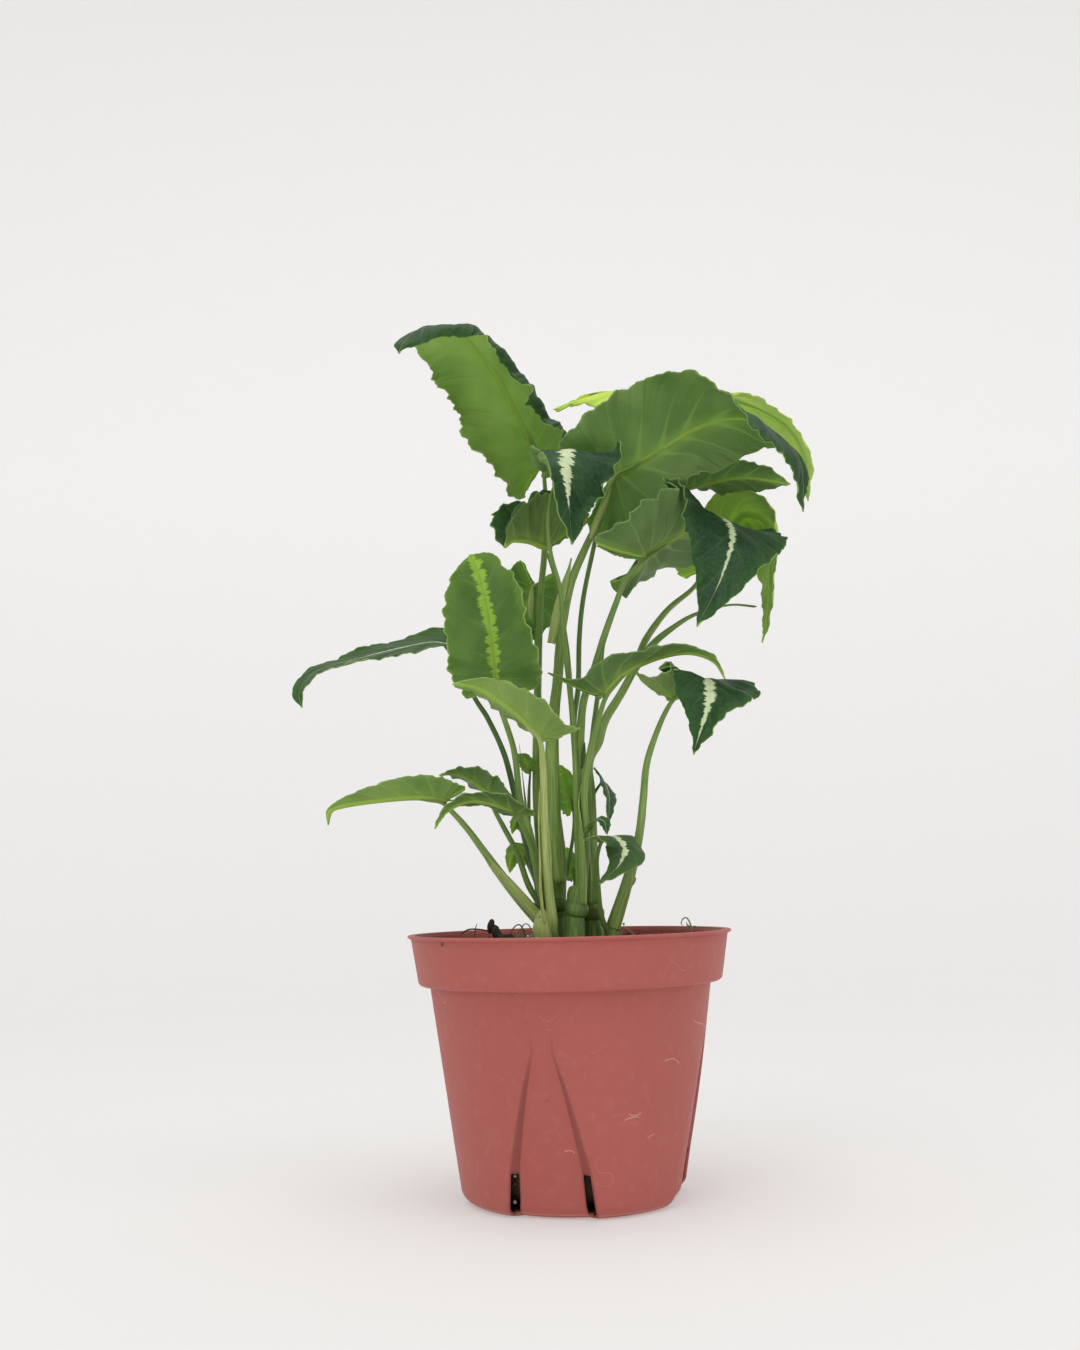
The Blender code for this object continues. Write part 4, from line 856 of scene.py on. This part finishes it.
def blade_shape(blade, look):
    """The shape function of one blade for shaped_grid."""
    spacing = look["spacing"]
    spine, forward, up, length = blade_spine(blade)
    draw = random.Random(blade["seed"])
    phases = np.array([[draw.uniform(0.0, 2 * math.pi) for _ in range(4)] for _ in range(2)])
    more = np.array([[draw.uniform(0.0, 2 * math.pi) for _ in range(6)] for _ in range(2)])
    runs = [outline_run(blade, side) for side in (0, 1)]
    mean_run = (runs[0][1] + runs[1][1]) / 2

    def shape(x, y):
        spread = 0.8 * mean_run / mean_run[-1] + 0.2 * runs[0][0]
        u = np.interp(x, spread, runs[0][0])
        v = 2.0 * y - 1.0
        v = np.sign(v) * np.abs(v) ** 1.25
        right = v > 0
        reach = np.abs(v)
        pick = lambda name: np.where(right, blade[name][1], blade[name][0])
        edge_x = knots(blade_widths(blade), u) * pick("half_width")
        edge_y = knots([k[1] for k in OUTLINE], u) * pick("lobe") + knots([k[2] for k in OUTLINE], u) * length
        rib_y = knots([k[3] for k in OUTLINE], u) * pick("lobe") + knots([k[4] for k in OUTLINE], u) * length
        margin_run = np.where(right, np.interp(u, *runs[1]), np.interp(u, *runs[0]))
        phase = phases[right.astype(int)]
        other = more[right.astype(int)]
        turns = 2 * math.pi * blade["ripples"] * u
        calm = np.sqrt(np.clip(np.sin(math.pi * u), 0.0, 1.0))
        notch = 0.6 * np.sin(2.6 * turns + phase[:, 2]) + 0.4 * np.sin(4.3 * turns + phase[:, 3])
        span = np.hypot(edge_x, edge_y - rib_y) + 0.01
        teeth = (0.40 * (0.5 + 0.5 * np.sin(2 * math.pi * margin_run / 3.7 + other[:, 0]))
                 * (0.6 + 0.4 * np.sin(margin_run / 5.1 + other[:, 1]))
                 + 0.25 * (0.5 + 0.5 * np.sin(2 * math.pi * margin_run / 1.9 + other[:, 2])))
        reach_out = reach * (1.0 + 0.6 * blade["notch"] * calm * notch * reach ** 4)
        reach_out = reach_out - teeth * calm * reach ** 7 / span
        flat_x = reach_out * edge_x
        flat_y = rib_y + reach_out * (edge_y - rib_y)
        ripple = 0.6 * np.sin(turns + phase[:, 0]) + 0.4 * np.sin(2.1 * turns + phase[:, 1])
        lift = blade["wave"] * pick("half_width") * calm * ripple * reach ** 2
        size = np.clip(pick("half_width") / 20.0, 0.3, 1.3)
        ruffle = (0.55 * np.sin(2 * math.pi * margin_run / 7.3 + other[:, 3])
                  + 0.30 * np.sin(2 * math.pi * margin_run / 3.4 + other[:, 4]))
        lift = lift + ruffle * size * calm * reach ** 4
        vein = margin_run / spacing + 0.16 * np.sin(margin_run / 9.0 + other[:, 5]) + 0.3 * (1 - right)
        off = np.abs(vein - np.round(vein)) * spacing * np.clip(reach, 0.15, 1.0)
        rib = np.abs(flat_x)
        inner = np.clip(rib / 2.5, 0.0, 1.0) * np.clip((1.0 - reach) * 6.0, 0.0, 1.0)
        puff = 0.55 * (1.0 - np.exp(-(off / 2.2) ** 2)) - 0.2
        puff = puff + 0.4 * np.sin(flat_x / 2.9 + other[:, 1]) * np.sin(flat_y / 4.3 + other[:, 2])
        lift = lift + puff * size * inner - 0.5 * np.exp(-(rib / 1.1) ** 2) * np.clip(1.0 - u, 0.0, 1.0)
        run = np.linspace(0.0, length, len(spine))
        at = np.clip(flat_y, 0.0, length)
        read = lambda table: np.stack([np.interp(at, run, table[:, axis]) for axis in range(3)], axis=1)
        behind = np.clip(-flat_y, 0.0, None)
        ahead, above = unit(read(forward)), unit(read(up))
        beside = np.cross(ahead, above)
        waves = 0.5 + 0.5 * np.sin(2 * math.pi * margin_run / 27.0 + other[:, 0])
        waves = look["rest"] + (1.0 - look["rest"]) * waves
        roll = np.radians(np.where(right, look["roll"][1], look["roll"][0])) * waves * calm
        by_stalk = np.clip(1.0 - flat_y / (0.4 * length), 0.0, 1.3)
        cup, curl = np.radians(pick("cup") + pick("fold") * by_stalk), np.radians(pick("curl"))
        out, rise, slope = bend_across(flat_x, reach, pick("half_width"), cup, curl, roll)
        out = out - lift * np.sin(slope)
        rise = rise + lift * np.cos(slope)
        rise = rise - blade["drop"] * (behind / pick("lobe")) ** 2
        side = np.where(right, 1.0, -1.0)
        place = read(spine) - ahead * behind[:, None]
        place = place + beside * (side * out)[:, None] + above * rise[:, None]
        place = spine[0] + BLADE_FIT * (place - spine[0])
        lobe_x = blade["lobe_out"] * pick("half_width")
        lobe_y = -pick("lobe")
        along_lobe = np.clip((flat_x * lobe_x + flat_y * lobe_y) / (lobe_x ** 2 + lobe_y ** 2), 0.0, 1.0)
        to_lobe = np.hypot(flat_x - along_lobe * lobe_x, flat_y - along_lobe * lobe_y)
        rib = np.minimum(rib + behind, to_lobe + 0.5)
        part = np.clip(flat_y / length, -0.1, 1.0)
        taper = np.clip(2.6 * (look["ends"] - part), 0.0, 1.0) * np.clip(0.5 + 2.5 * part, 0.2, 1.0)
        facts = {
            "vein": vein,
            "rib": rib,
            "along": flat_y + side * 61.0,
            "edge": (1.0 - reach) * span,
            "stripe": look["stripe"] * taper,
            "young": look["young"],
            "under": look["under"],
            "spacing": spacing * np.clip(reach, 0.12, 1.0),
            "thick": np.exp(-(np.abs(flat_x) / 0.75) ** 2) * np.clip(1.15 - part, 0.15, 1.0),
        }
        return place, facts

    return shape


def make_leaf(name, blade):
    """One leaf blade in fine detail: quilted between its veins, raised along its midrib below."""
    style = LOOKS.get(name, LEAFLET)
    _, run = outline_run(blade, 0)
    wide = max(blade["half_width"])
    rows = int(np.clip(run[-1] * 1.5, 40, 190))
    columns = 2 * int(np.clip(wide * 0.95, 6, 26))
    bm = new_work(*LEAF_FACTS, "thick")
    shaped_grid(bm, rows, columns, blade_shape(blade, style), 0.00004)
    mesh = to_mesh(name, bm, inside_out=True)
    title = name.replace("blade", "leaf")
    finish = (YOUNG_UPPER, YOUNG_UNDER) if blade["colour"] == "bright" else (UPPER, UNDER)
    made = new_piece(title, mesh, finish, SLOTS[blade["colour"]], name)
    made.name = title
    group = made.vertex_groups.new(name="midrib")
    thick = mesh.attributes["thick"].data
    for index, value in enumerate(thick):
        if value.value > 0.02:
            group.add([index], value.value, "REPLACE")
    sheet = made.modifiers.new("thickness", "SOLIDIFY")
    sheet.thickness = (1.5 if wide > 8 else 0.9) * MM
    sheet.offset = -1.0
    sheet.vertex_group = "midrib"
    sheet.thickness_vertex_group = 0.24
    sheet.material_offset = 1
    sheet.material_offset_rim = 1
    return made


def frames(path):
    """Two directions across a path at each of its points, without twist."""
    ahead = unit(np.gradient(path, axis=0))
    first = np.cross(ahead[0], (0.0, 1.0, 0.2))
    sides = [unit(first)]
    for direction in ahead[1:]:
        moved = sides[-1] - direction * np.dot(sides[-1], direction)
        sides.append(unit(moved))
    sides = np.array(sides)
    return ahead, sides, np.cross(ahead, sides)


def tube_shape(points, radii, tone, brown=0.0, groove=0.0, rough=0.0, seed=0):
    """The shape function of a closed tube along a smooth route."""
    count = 90
    path = smooth_path(points, count)
    ahead, side, above = frames(path)
    length = float(np.sum(np.linalg.norm(np.diff(path, axis=0), axis=1)))
    draw = random.Random(seed)
    phase = [draw.uniform(0.0, 6.28) for _ in range(4)]

    def shape(x, y):
        cap = min(0.2, radii[0] / length)
        cap_end = min(0.2, radii[-1] / length)
        ends = np.sqrt(np.clip(1 - ((cap - x) / cap).clip(0) ** 2, 0, 1))
        ends = ends * np.sqrt(np.clip(1 - ((x - 1 + cap_end) / cap_end).clip(0) ** 2, 0, 1))
        radius = knots(radii, x) if len(radii) > 2 else radii[0] + (radii[1] - radii[0]) * x
        turn = 2 * math.pi * y
        run = x * length
        bumps = np.sin(run / 3.1 + phase[0]) + np.sin(run / 1.3 + 2 * turn + phase[1])
        bumps = bumps + np.sin(3 * turn + phase[2])
        radius = radius * (1.0 + rough * bumps) * ends
        radius = radius * (1.0 - groove * np.clip(np.cos(turn), 0, 1) ** 5)
        at = x * (count - 1)
        read = lambda table: np.stack([np.interp(at, np.arange(count), table[:, a]) for a in range(3)], axis=1)
        ring_x, ring_y = np.cos(turn), np.sin(turn)
        place = read(path) + read(side) * (radius * ring_x)[:, None] + read(above) * (radius * ring_y)[:, None]
        facts = {"along": run + 7.0 * seed, "ring_x": ring_x, "ring_y": ring_y, "tone": tone, "brown": brown}
        return place, facts

    return shape


def sheath_shape(points, radii, reach, turn, tone, seed):
    """The shape function of a sheet that wraps a stalk and ends in a point."""
    count = 60
    path = smooth_path(points, count)
    ahead, side, above = frames(path)
    length = float(np.sum(np.linalg.norm(np.diff(path, axis=0), axis=1)))

    def shape(x, y):
        around = 1.0 - x ** 3
        angle = math.radians(turn) + math.radians(reach) * (y - 0.5) * (0.06 + 0.94 * around)
        radius = knots(radii, x) * (1.0 + 0.10 * (2 * np.abs(y - 0.5)) ** 3)
        at = x * (count - 1)
        read = lambda table: np.stack([np.interp(at, np.arange(count), table[:, a]) for a in range(3)], axis=1)
        ring_x, ring_y = np.cos(angle), np.sin(angle)
        place = read(path) + read(side) * (radius * ring_x)[:, None] + read(above) * (radius * ring_y)[:, None]
        margin = np.clip((np.abs(y - 0.5) - 0.44) / 0.06, 0.0, 1.0)
        facts = {"along": x * length + 5.0 * seed, "ring_x": ring_x, "ring_y": ring_y,
                 "tone": tone + 0.2 * margin, "brown": 0.5 * np.clip(x * 12 - 11.2, 0.0, 1.0)}
        return place, facts

    return shape


def stalk_route(route, radii, blade):
    """A stalk's route, on to its blade's midrib where it runs out along the under side."""
    route = [np.array(point, dtype=float) for point in route]
    if blade:
        spine, forward, up, length = blade_spine(BLADES[blade])
        run = np.linspace(0.0, length, len(spine))
        reach = min(14.0, 0.22 * length)
        for part, deep in ((0.0, 0.9), (0.5, 0.75), (1.0, 0.2)):
            at = reach * part
            read = lambda table: np.array([np.interp(at, run, table[:, axis]) for axis in range(3)])
            route.append(read(spine) - unit(read(up)) * (deep * radii[1] + 0.35))
    return route


def make_shoot(name, shoot):
    """One shoot: stem, stalks and small things as one piece, and its sheaths as a second piece."""
    bm = new_work(*STALK_FACTS)
    shaped_grid(bm, 16, 20, tube_shape(shoot["stump"], shoot["stump_radius"], 0.3, 0.2, rough=0.03))
    for number, (route, radii, blade) in enumerate(shoot["stalks"]):
        route = stalk_route(route, radii, blade)
        tone = TONES[name][number]
        end = radii[1] * (0.45 if blade else 1.0)
        widths = (radii[0] * 1.08, radii[0], (radii[0] + radii[1]) / 2, radii[1], end)
        shape = tube_shape(route, widths, tone, groove=0.16, rough=0.012, seed=number)
        shaped_grid(bm, max(24, 8 * len(route)), 16, shape)
    for number, (route, radii, tone, brown) in enumerate(EXTRAS.get(name, ())):
        shaped_grid(bm, 28, 14, tube_shape(route, radii, tone, brown, rough=0.03, seed=20 + number))
    mesh = to_mesh(name, bm, inside_out=True)
    new_piece(name.replace("shoot", "stems"), mesh, (STALK,), "stalk", name)
    if name in SHEATHS:
        bm = new_work(*STALK_FACTS)
        for number, (route, radii, reach, turn, tone) in enumerate(SHEATHS[name]):
            shaped_grid(bm, 40, 14, sheath_shape(route, radii, reach, turn, tone, number))
        mesh = to_mesh(name + "_sheaths", bm, inside_out=True)
        made = new_piece(name.replace("shoot", "sheaths"), mesh, (STALK,), "stalk")
        sheet = made.modifiers.new("thickness", "SOLIDIFY")
        sheet.thickness = 0.35 * MM
        sheet.offset = -1.0


SOIL_RISE = 0.3


def make_soil():
    """The potting mix: a lumpy top and sides that show dark through the slits."""
    limit = BAND_FOOT_RADIUS - WALL - GAP
    top = SOIL_TOP + SOIL_RISE
    side = [(0.0, top), (24.0, top), (46.0, top - 0.4), (limit, top - 1.0)]
    low = [(limit, POT_HEIGHT - BAND_HEIGHT + 2.6),
           (WALL_TOP_RADIUS - WALL - GAP, POT_HEIGHT - BAND_HEIGHT + 1.6),
           (wall_radius(TONGUE_HEIGHT, WALL + GAP), TONGUE_HEIGHT),
           (wall_radius(8.0, WALL + GAP + tongue_push(8.0)), 8.0),
           (30.0, BASE_THICK + GAP), (0.0, BASE_THICK + GAP)]
    line = np.array(side + low)
    run = np.concatenate([[0.0], np.cumsum(np.hypot(np.diff(line[:, 0]), np.diff(line[:, 1])))])

    def shape(x, y):
        at = x * run[-1]
        radius = np.interp(at, run, line[:, 0])
        height = np.interp(at, run, line[:, 1])
        turn = 2 * math.pi * y
        places = np.stack([radius * np.cos(turn), radius * np.sin(turn), height], axis=1)
        top = at < run[3] + 0.01
        for place, on_top in zip(places, top):
            spot = Vector(place)
            lump = noise.noise(spot * 0.09) * 1.6 + noise.noise(spot * 0.3) * 1.1
            lump += noise.noise(spot * 0.8) * 0.5
            if on_top:
                place[2] += lump - 0.6
            else:
                place[:2] *= 1.0 - max(0.0, lump) * 0.006
        return places, {}

    bm = bmesh.new()
    shaped_grid(bm, 110, 200, shape, 0.00002)
    bmesh.ops.recalc_face_normals(bm, faces=bm.faces)
    surface = BVHTree.FromBMesh(bm)
    new_piece("potting_mix", to_mesh("potting_mix", bm), (SOIL,), "soil", "soil")
    return surface


# Larger bits on the soil, each sunk in it or in the bit below it: place, radius, stretch, shade
CHIPS = [
    ((-24.6, -20, 92.0), 4.2, (1.05, 0.55, 0.6), 0.0), ((-26.2, -20.2, 95.0), 3.4, (0.8, 0.5, 0.8), 0.0),
    ((-28.0, -20.4, 97.0), 2.6, (0.5, 0.5, 1.0), 0.0), ((-22.0, -19.6, 92.6), 3.0, (1.0, 0.6, 0.6), 0.05),
    ((-31.0, -22, 90.6), 1.8, (1.0, 0.6, 0.6), 0.1), ((20.9, 10, 96.2), 0.5, (1, 1, 1), 1.0),
    ((54.3, 20, 90.8), 1.5, (1.0, 0.8, 0.7), 0.1), ((34.0, 4, 91.0), 1.4, (1.0, 0.8, 0.7), 0.1),
    ((-44.0, -12, 91.2), 1.7, (1.0, 0.8, 0.6), 0.1),
]


def soil_height(surface, x, y):
    """Height of the soil's surface at a place."""
    hit = surface.ray_cast(Vector((x, y, 2 * SOIL_TOP)) * MM, Vector((0, 0, -1)))[0]
    return hit.z / MM if hit else SOIL_TOP


def add_grain(bm, layer, place, radius, stretch, draw, shade, fine=1):
    """One loose bit: a small irregular lump, turned at random."""
    turn = Matrix.Rotation(draw.uniform(0, 6.28), 4, "Z") @ Matrix.Rotation(draw.uniform(-0.5, 0.5), 4, "X")
    shape = Matrix.Translation(Vector(place) * MM) @ turn @ Matrix.Diagonal((*stretch, 1.0))
    made = bmesh.ops.create_icosphere(bm, subdivisions=fine, radius=radius * MM, matrix=shape)["verts"]
    for vert in made:
        middle = Vector(place) * MM
        lump = 1.0 + 0.35 * noise.noise(vert.co * 700.0)
        vert.co = middle + (vert.co - middle) * lump
        vert[layer] = shade


def make_grains(surface):
    """Loose bits on the soil: dark crumbs, bark, white grains, and some behind the slits."""
    draw = random.Random(7)
    bm = bmesh.new()
    layer = bm.verts.layers.float.new("shade")
    limit = BAND_FOOT_RADIUS - WALL - 2.0
    for _ in range(620):
        turn = draw.uniform(0, 2 * math.pi)
        out = limit * math.sqrt(draw.uniform(0.0, 1.0))
        kind = draw.random()
        across, deep = out * math.cos(turn), out * math.sin(turn)
        place = (across, deep, soil_height(surface, across, deep) + draw.uniform(-0.2, 0.2))
        if kind < 0.62:
            radius = draw.uniform(0.6, 1.6)
            stretch = (1.0, draw.uniform(0.6, 1.0), 0.7)
            add_grain(bm, layer, place, radius, stretch, draw, draw.uniform(0, 0.3))
        elif kind < 0.90:
            radius = draw.uniform(1.2, 2.6)
            add_grain(bm, layer, place, radius, (1.0, 0.35, 0.3), draw, draw.uniform(0.4, 0.6))
        else:
            add_grain(bm, layer, place, draw.uniform(0.5, 1.2), (1.0, 0.8, 0.8), draw, 1.0)
    for turn in TONGUE_TURNS:
        for edge in (-1, 1):
            for _ in range(9):
                height = draw.uniform(4.0, 40.0)
                slant = TONGUE_EDGE[::-1]
                across = np.interp(height, [z for _, z in slant], [x for x, _ in slant])
                out = wall_radius(height, WALL + GAP + tongue_push(height) + 0.2)
                angle = math.radians(turn - 90) + edge * (across - 1.0) / out
                place = (out * math.cos(angle), out * math.sin(angle), height)
                radius = draw.uniform(0.5, 1.0)
                shade = draw.choice((0.1, 0.5, 1.0))
                add_grain(bm, layer, place, radius, (1.0, 0.9, 0.9), draw, shade)
    for place, radius, stretch, shade in CHIPS:
        add_grain(bm, layer, place, radius, stretch, draw, shade, 3)
    new_piece("soil_grains", to_mesh("soil_grains", bm), (GRAINS,), "soil")


ROOTS = [
    ([(-39, -21, 94.4), (-36, -22, 96.2), (-32, -21.4, 96.2), (-27, -20.6, 95.2)], (0.25, 0.3, 0.15), 0.1, 0.7),
    ([(-34.2, -24.2, 89.4), (-33.4, -23.4, 96), (-32.6, -23, 98.4)], (0.25, 0.25, 0.12), 0.1, 0.7),
    ([(-22, -19.4, 92.6), (-20, -18.6, 96.2), (-17.9, -18, 97.5), (-16.4, -17, 95.4), (-14.6, -15.6, 89.4)],
     (0.2, 0.26, 0.2), 0.2, 0.6),
    ([(-19.4, -16.6, 89.4), (-17, -15.6, 96.4), (-15.1, -15, 97.6), (-13.6, -14, 95.2), (-12, -12.6, 89.4)],
     (0.2, 0.22, 0.18), 0.5, 0.4),
    ([(-20.6, -19.8, 93.4), (-16, -19, 95.8), (-12, -16.4, 89.4)], (0.2, 0.2, 0.12), 0.4, 0.5),
    ([(19.4, 9, 89.4), (20.2, 9.6, 93.6), (20.9, 10, 95.8), (19.8, 10, 96.4)], (0.2, 0.16, 0.12), 1.4, 0.0),
    ([(16.6, 6.8, 89.4), (19, 8, 94.4), (22.4, 8.6, 94.2), (26.4, 9.2, 89.4)], (0.16, 0.18, 0.12), 1.3, 0.1),
    ([(47.6, 20, 89), (47.4, 20, 93.7), (46.6, 20, 96.4), (45.5, 20, 97.8), (44, 20, 97), (43.5, 20, 95.4),
      (44.2, 20, 94.6)], (0.34, 0.32, 0.3, 0.26, 0.16), 0.7, 0.0),
    ([(47.5, 20, 93.2), (48.6, 20, 94.4), (50.2, 20, 93.6)], (0.28, 0.24, 0.12), 0.6, 0.0),
    ([(47.4, 20, 94), (46, 20, 94.8), (45.6, 20, 96)], (0.26, 0.3, 0.12), 0.6, 0.0),
]


def make_roots():
    """Thin roots and a small sprout on the soil."""
    bm = new_work(*STALK_FACTS)
    for number, (route, radii, tone, brown) in enumerate(ROOTS):
        shaped_grid(bm, 20, 8, tube_shape(route, radii, tone, brown, rough=0.04, seed=40 + number))
    new_piece("roots", to_mesh("roots", bm, inside_out=True), (STALK,), "stalk")


# Pot

def wall_radius(z, inset=0.0):
    """Outer radius of the pot's wall at a height, less an inset."""
    top = POT_HEIGHT - BAND_HEIGHT
    part = (z - BASE_ROUND) / (top - BASE_ROUND)
    return BASE_RADIUS + (WALL_TOP_RADIUS - BASE_RADIUS) * part - inset


def tongue_push(z):
    """How far a louvre tongue stands in from the wall at a height."""
    return TONGUE_PUSH * max(0.0, (TONGUE_HEIGHT - z) / (TONGUE_HEIGHT - BASE_ROUND))


def corner(radius, foot, steps, inset=0.0):
    """The pot's rounded lower edge, from the wall down to the flat base."""
    centre_x = radius - BASE_ROUND
    points = []
    for step in range(steps + 1):
        turn = math.radians(90.0 * step / steps)
        reach = BASE_ROUND - inset
        points.append((centre_x + reach * math.cos(turn), BASE_ROUND - reach * math.sin(turn) + foot))
    return points


def pot_line():
    """The pot's outer side from under the lip down to the middle of its base, in short steps."""
    foot = POT_HEIGHT - BAND_HEIGHT
    bend = 1.8
    line = [(BAND_TOP_RADIUS - 0.3, POT_HEIGHT - 0.4), (BAND_TOP_RADIUS - 0.1, POT_HEIGHT - 1.9)]
    for step in range(6):
        turn = math.radians(18.0 * step)
        line.append((BAND_FOOT_RADIUS - bend + bend * math.cos(turn), foot + bend - bend * math.sin(turn)))
    line += [(WALL_TOP_RADIUS + 0.6, foot), (WALL_TOP_RADIUS + 0.1, foot - 0.3), (WALL_TOP_RADIUS, foot - 1.0)]
    line += corner(BASE_RADIUS, 0.0, 9)
    line += [(30.0, 0.0), (0.0, 0.0)]
    fine = [line[0]]
    for first, second in zip(line, line[1:]):
        count = max(1, round(math.dist(first, second) / 2.4))
        for step in range(1, count + 1):
            fine.append(tuple(a + (b - a) * step / count for a, b in zip(first, second)))
    return np.array(fine)


WEB = (0.36, 0.41)
WEB_WIDE = 2.6


def pot_shape(line):
    """The shape function of the pot's skin. Its columns follow the edges of the pushed in tongues."""
    across = np.array([point[0] for point in TONGUE_EDGE])[::-1]
    heights = np.array([point[1] for point in TONGUE_EDGE])[::-1]

    def shape(x, y):
        row = np.round(x * (len(line) - 1)).astype(int)
        radius, height = line[row, 0], line[row, 1]
        sector = np.minimum((y * 4).astype(int), 3)
        part = (y * 4 - sector) * 2 - 1
        push = TONGUE_PUSH * np.clip((TONGUE_HEIGHT - height) / (TONGUE_HEIGHT - BASE_ROUND), 0, 1)
        web = 0.4 + WEB_WIDE * push / TONGUE_PUSH
        edge = np.maximum(np.interp(height, heights, across), 3.8)
        wall = np.maximum(radius, BASE_RADIUS - 2.0)
        outer = np.degrees(np.arcsin(edge / wall))
        inner = np.degrees(np.arcsin((edge - web) / wall))
        off = np.abs(part)
        turn = np.where(off < WEB[0], off / WEB[0] * inner,
                        np.where(off < WEB[1], inner + (off - WEB[0]) / (WEB[1] - WEB[0]) * (outer - inner),
                                 outer + (off - WEB[1]) / (1 - WEB[1]) * (45.0 - outer)))
        turn = np.radians(np.array(TONGUE_TURNS)[sector] - 90.0 + np.sign(part) * turn)
        inside = np.clip((WEB[1] - off) / (WEB[1] - WEB[0]), 0, 1)
        radius = radius - push * inside * np.clip((radius - 12.0) / 24.0, 0, 1)
        # Painted shade: how dark the webs beside each tongue are painted, more where the tongue is pushed
        # further in.
        painted_web_shade = ((off > WEB[0] - 0.01) & (off < WEB[1])) * np.clip(push * 1.2, 0.0, 1.0) * (height > 1.0)
        places = np.stack([radius * np.cos(turn), radius * np.sin(turn), height], axis=1)
        return places, {"web": off, "painted_web_shade": painted_web_shade}

    return shape


def finish_pot():
    """The nursery pot: a thin skin with four pushed in tongues and open slits at their feet."""
    line = pot_line()
    bm = new_work("web", "painted_web_shade")
    shaped_grid(bm, len(line) - 1, 400, pot_shape(line), 0.00001)
    layer = bm.verts.layers.float["web"]
    open_faces = []
    for face in bm.faces:
        middle = face.calc_center_median() * 1000.0
        off = sum(vert[layer] for vert in face.verts) / len(face.verts)
        if WEB[0] < off < WEB[1] and middle.z < SLIT_TOP and middle.xy.length > 37.0:
            open_faces.append(face)
    bmesh.ops.delete(bm, geom=open_faces, context="FACES")
    made = new_piece("nursery_pot", to_mesh("nursery_pot", bm), (POT,), "pot", "pot")
    made.data.set_sharp_from_angle(angle=math.radians(28))
    skin = made.modifiers.new("wall", "SOLIDIFY")
    skin.thickness = WALL * MM
    skin.offset = -1.0
    bm = bmesh.new()
    ring = [(57.4, -0.2), (57.9, 0.0), (59.6, 0.0), (60.0, -0.35), (59.9, -0.85), (59.2, -1.2), (58.6, -1.6),
            (57.4, -1.6)]

    def lip(x, y):
        index = np.round(x * len(ring)).astype(int) % len(ring)
        radius = np.array(ring)[index, 0]
        turn = 2 * math.pi * y
        height = POT_HEIGHT + np.array(ring)[index, 1]
        return np.stack([radius * np.cos(turn), radius * np.sin(turn), height], axis=1), {}

    shaped_grid(bm, len(ring), 240, lip, 0.00001)
    bmesh.ops.recalc_face_normals(bm, faces=bm.faces)
    made = new_piece("pot_lip", to_mesh("pot_lip", bm), (POT,), "pot")
    made.data.set_sharp_from_angle(angle=math.radians(40))


def make_stage():
    """A pale sweep of floor and backdrop, soft lights and the photographer's camera."""
    bm = bmesh.new()

    def sweep(x, y):
        run = x * 6.0
        depth = np.where(run < 2.6, run - 1.6, 1.0 + 0.8 * np.sin(np.clip((run - 2.6) / 0.8, 0, math.pi / 2)))
        rise = np.where(run < 2.6, 0.0, 0.8 * (1 - np.cos(np.clip((run - 2.6) / 0.8, 0, math.pi / 2))))
        rise = rise + np.clip(run - 2.6 - 0.4 * math.pi, 0, None)
        return np.stack([(y - 0.5) * 7.0, depth, rise], axis=1) * 1000.0, {}

    shaped_grid(bm, 60, 8, sweep, 0.0)
    mesh = to_mesh("sweep", bm)
    floor = bpy.data.objects.new("sweep", mesh)
    bpy.context.scene.collection.objects.link(floor)
    mesh.shade_smooth()
    # Painted light: the paper glows at full emission strength.
    mesh.materials.append(new_material("paper", draw_paper, Roughness=0.9, Specular_IOR_Level=0.1,
                                       Emission_Strength=1.0))

    def lamp(name, place, target, size, power):
        data = bpy.data.lights.new(name, "AREA")
        data.shape = "RECTANGLE"
        data.size, data.size_y = size
        data.energy = power
        made = bpy.data.objects.new(name, data)
        made.location = place
        made.rotation_euler = (Vector(target) - Vector(place)).to_track_quat("-Z", "Y").to_euler()
        bpy.context.scene.collection.objects.link(made)

    lamp("overhead", (0.0, -0.25, 1.5), (0.0, 0.0, 0.15), (1.6, 1.3), 12.0)
    lamp("front", (-0.9, -1.6, 0.9), (0.0, 0.0, 0.15), (1.0, 1.2), 6.0)
    lamp("right", (1.3, -0.6, 0.6), (0.0, 0.0, 0.15), (0.6, 1.0), 2.5)
    world = bpy.data.worlds.new("white room")
    bpy.context.scene.world = world
    world.use_nodes = True
    world.node_tree.nodes["Background"].inputs["Color"].default_value = (1.0, 1.0, 1.0, 1.0)
    world.node_tree.nodes["Background"].inputs["Strength"].default_value = 0.42

    yaw, pitch, roll = 0.01641, 0.15464, 0.02356
    side = Vector((math.cos(yaw), math.sin(yaw), 0.0))
    level = Vector((-math.sin(yaw), math.cos(yaw), 0.0))
    ahead = math.cos(pitch) * level + math.sin(pitch) * Vector((0, 0, 1))
    above = math.cos(pitch) * Vector((0, 0, 1)) - math.sin(pitch) * level
    x_axis = math.cos(roll) * side - math.sin(roll) * above
    y_axis = math.sin(roll) * side + math.cos(roll) * above
    data = bpy.data.cameras.new("camera")
    data.lens = 36.557
    data.clip_start = 0.01
    camera = bpy.data.objects.new("camera", data)
    bpy.context.scene.collection.objects.link(camera)
    turn = Matrix((x_axis, y_axis, -ahead)).transposed().to_4x4()
    camera.matrix_world = Matrix.Translation((0.0, -0.520, 0.110075)) @ turn
    bpy.context.scene.camera = camera
    bpy.context.scene.view_settings.view_transform = "Standard"


finish_pot()
soil_surface = make_soil()
make_grains(soil_surface)
make_roots()
for name, shoot in SHOOTS.items():
    make_shoot(name, shoot)
for name, blade in BLADES.items():
    make_leaf(name, blade)
make_stage()
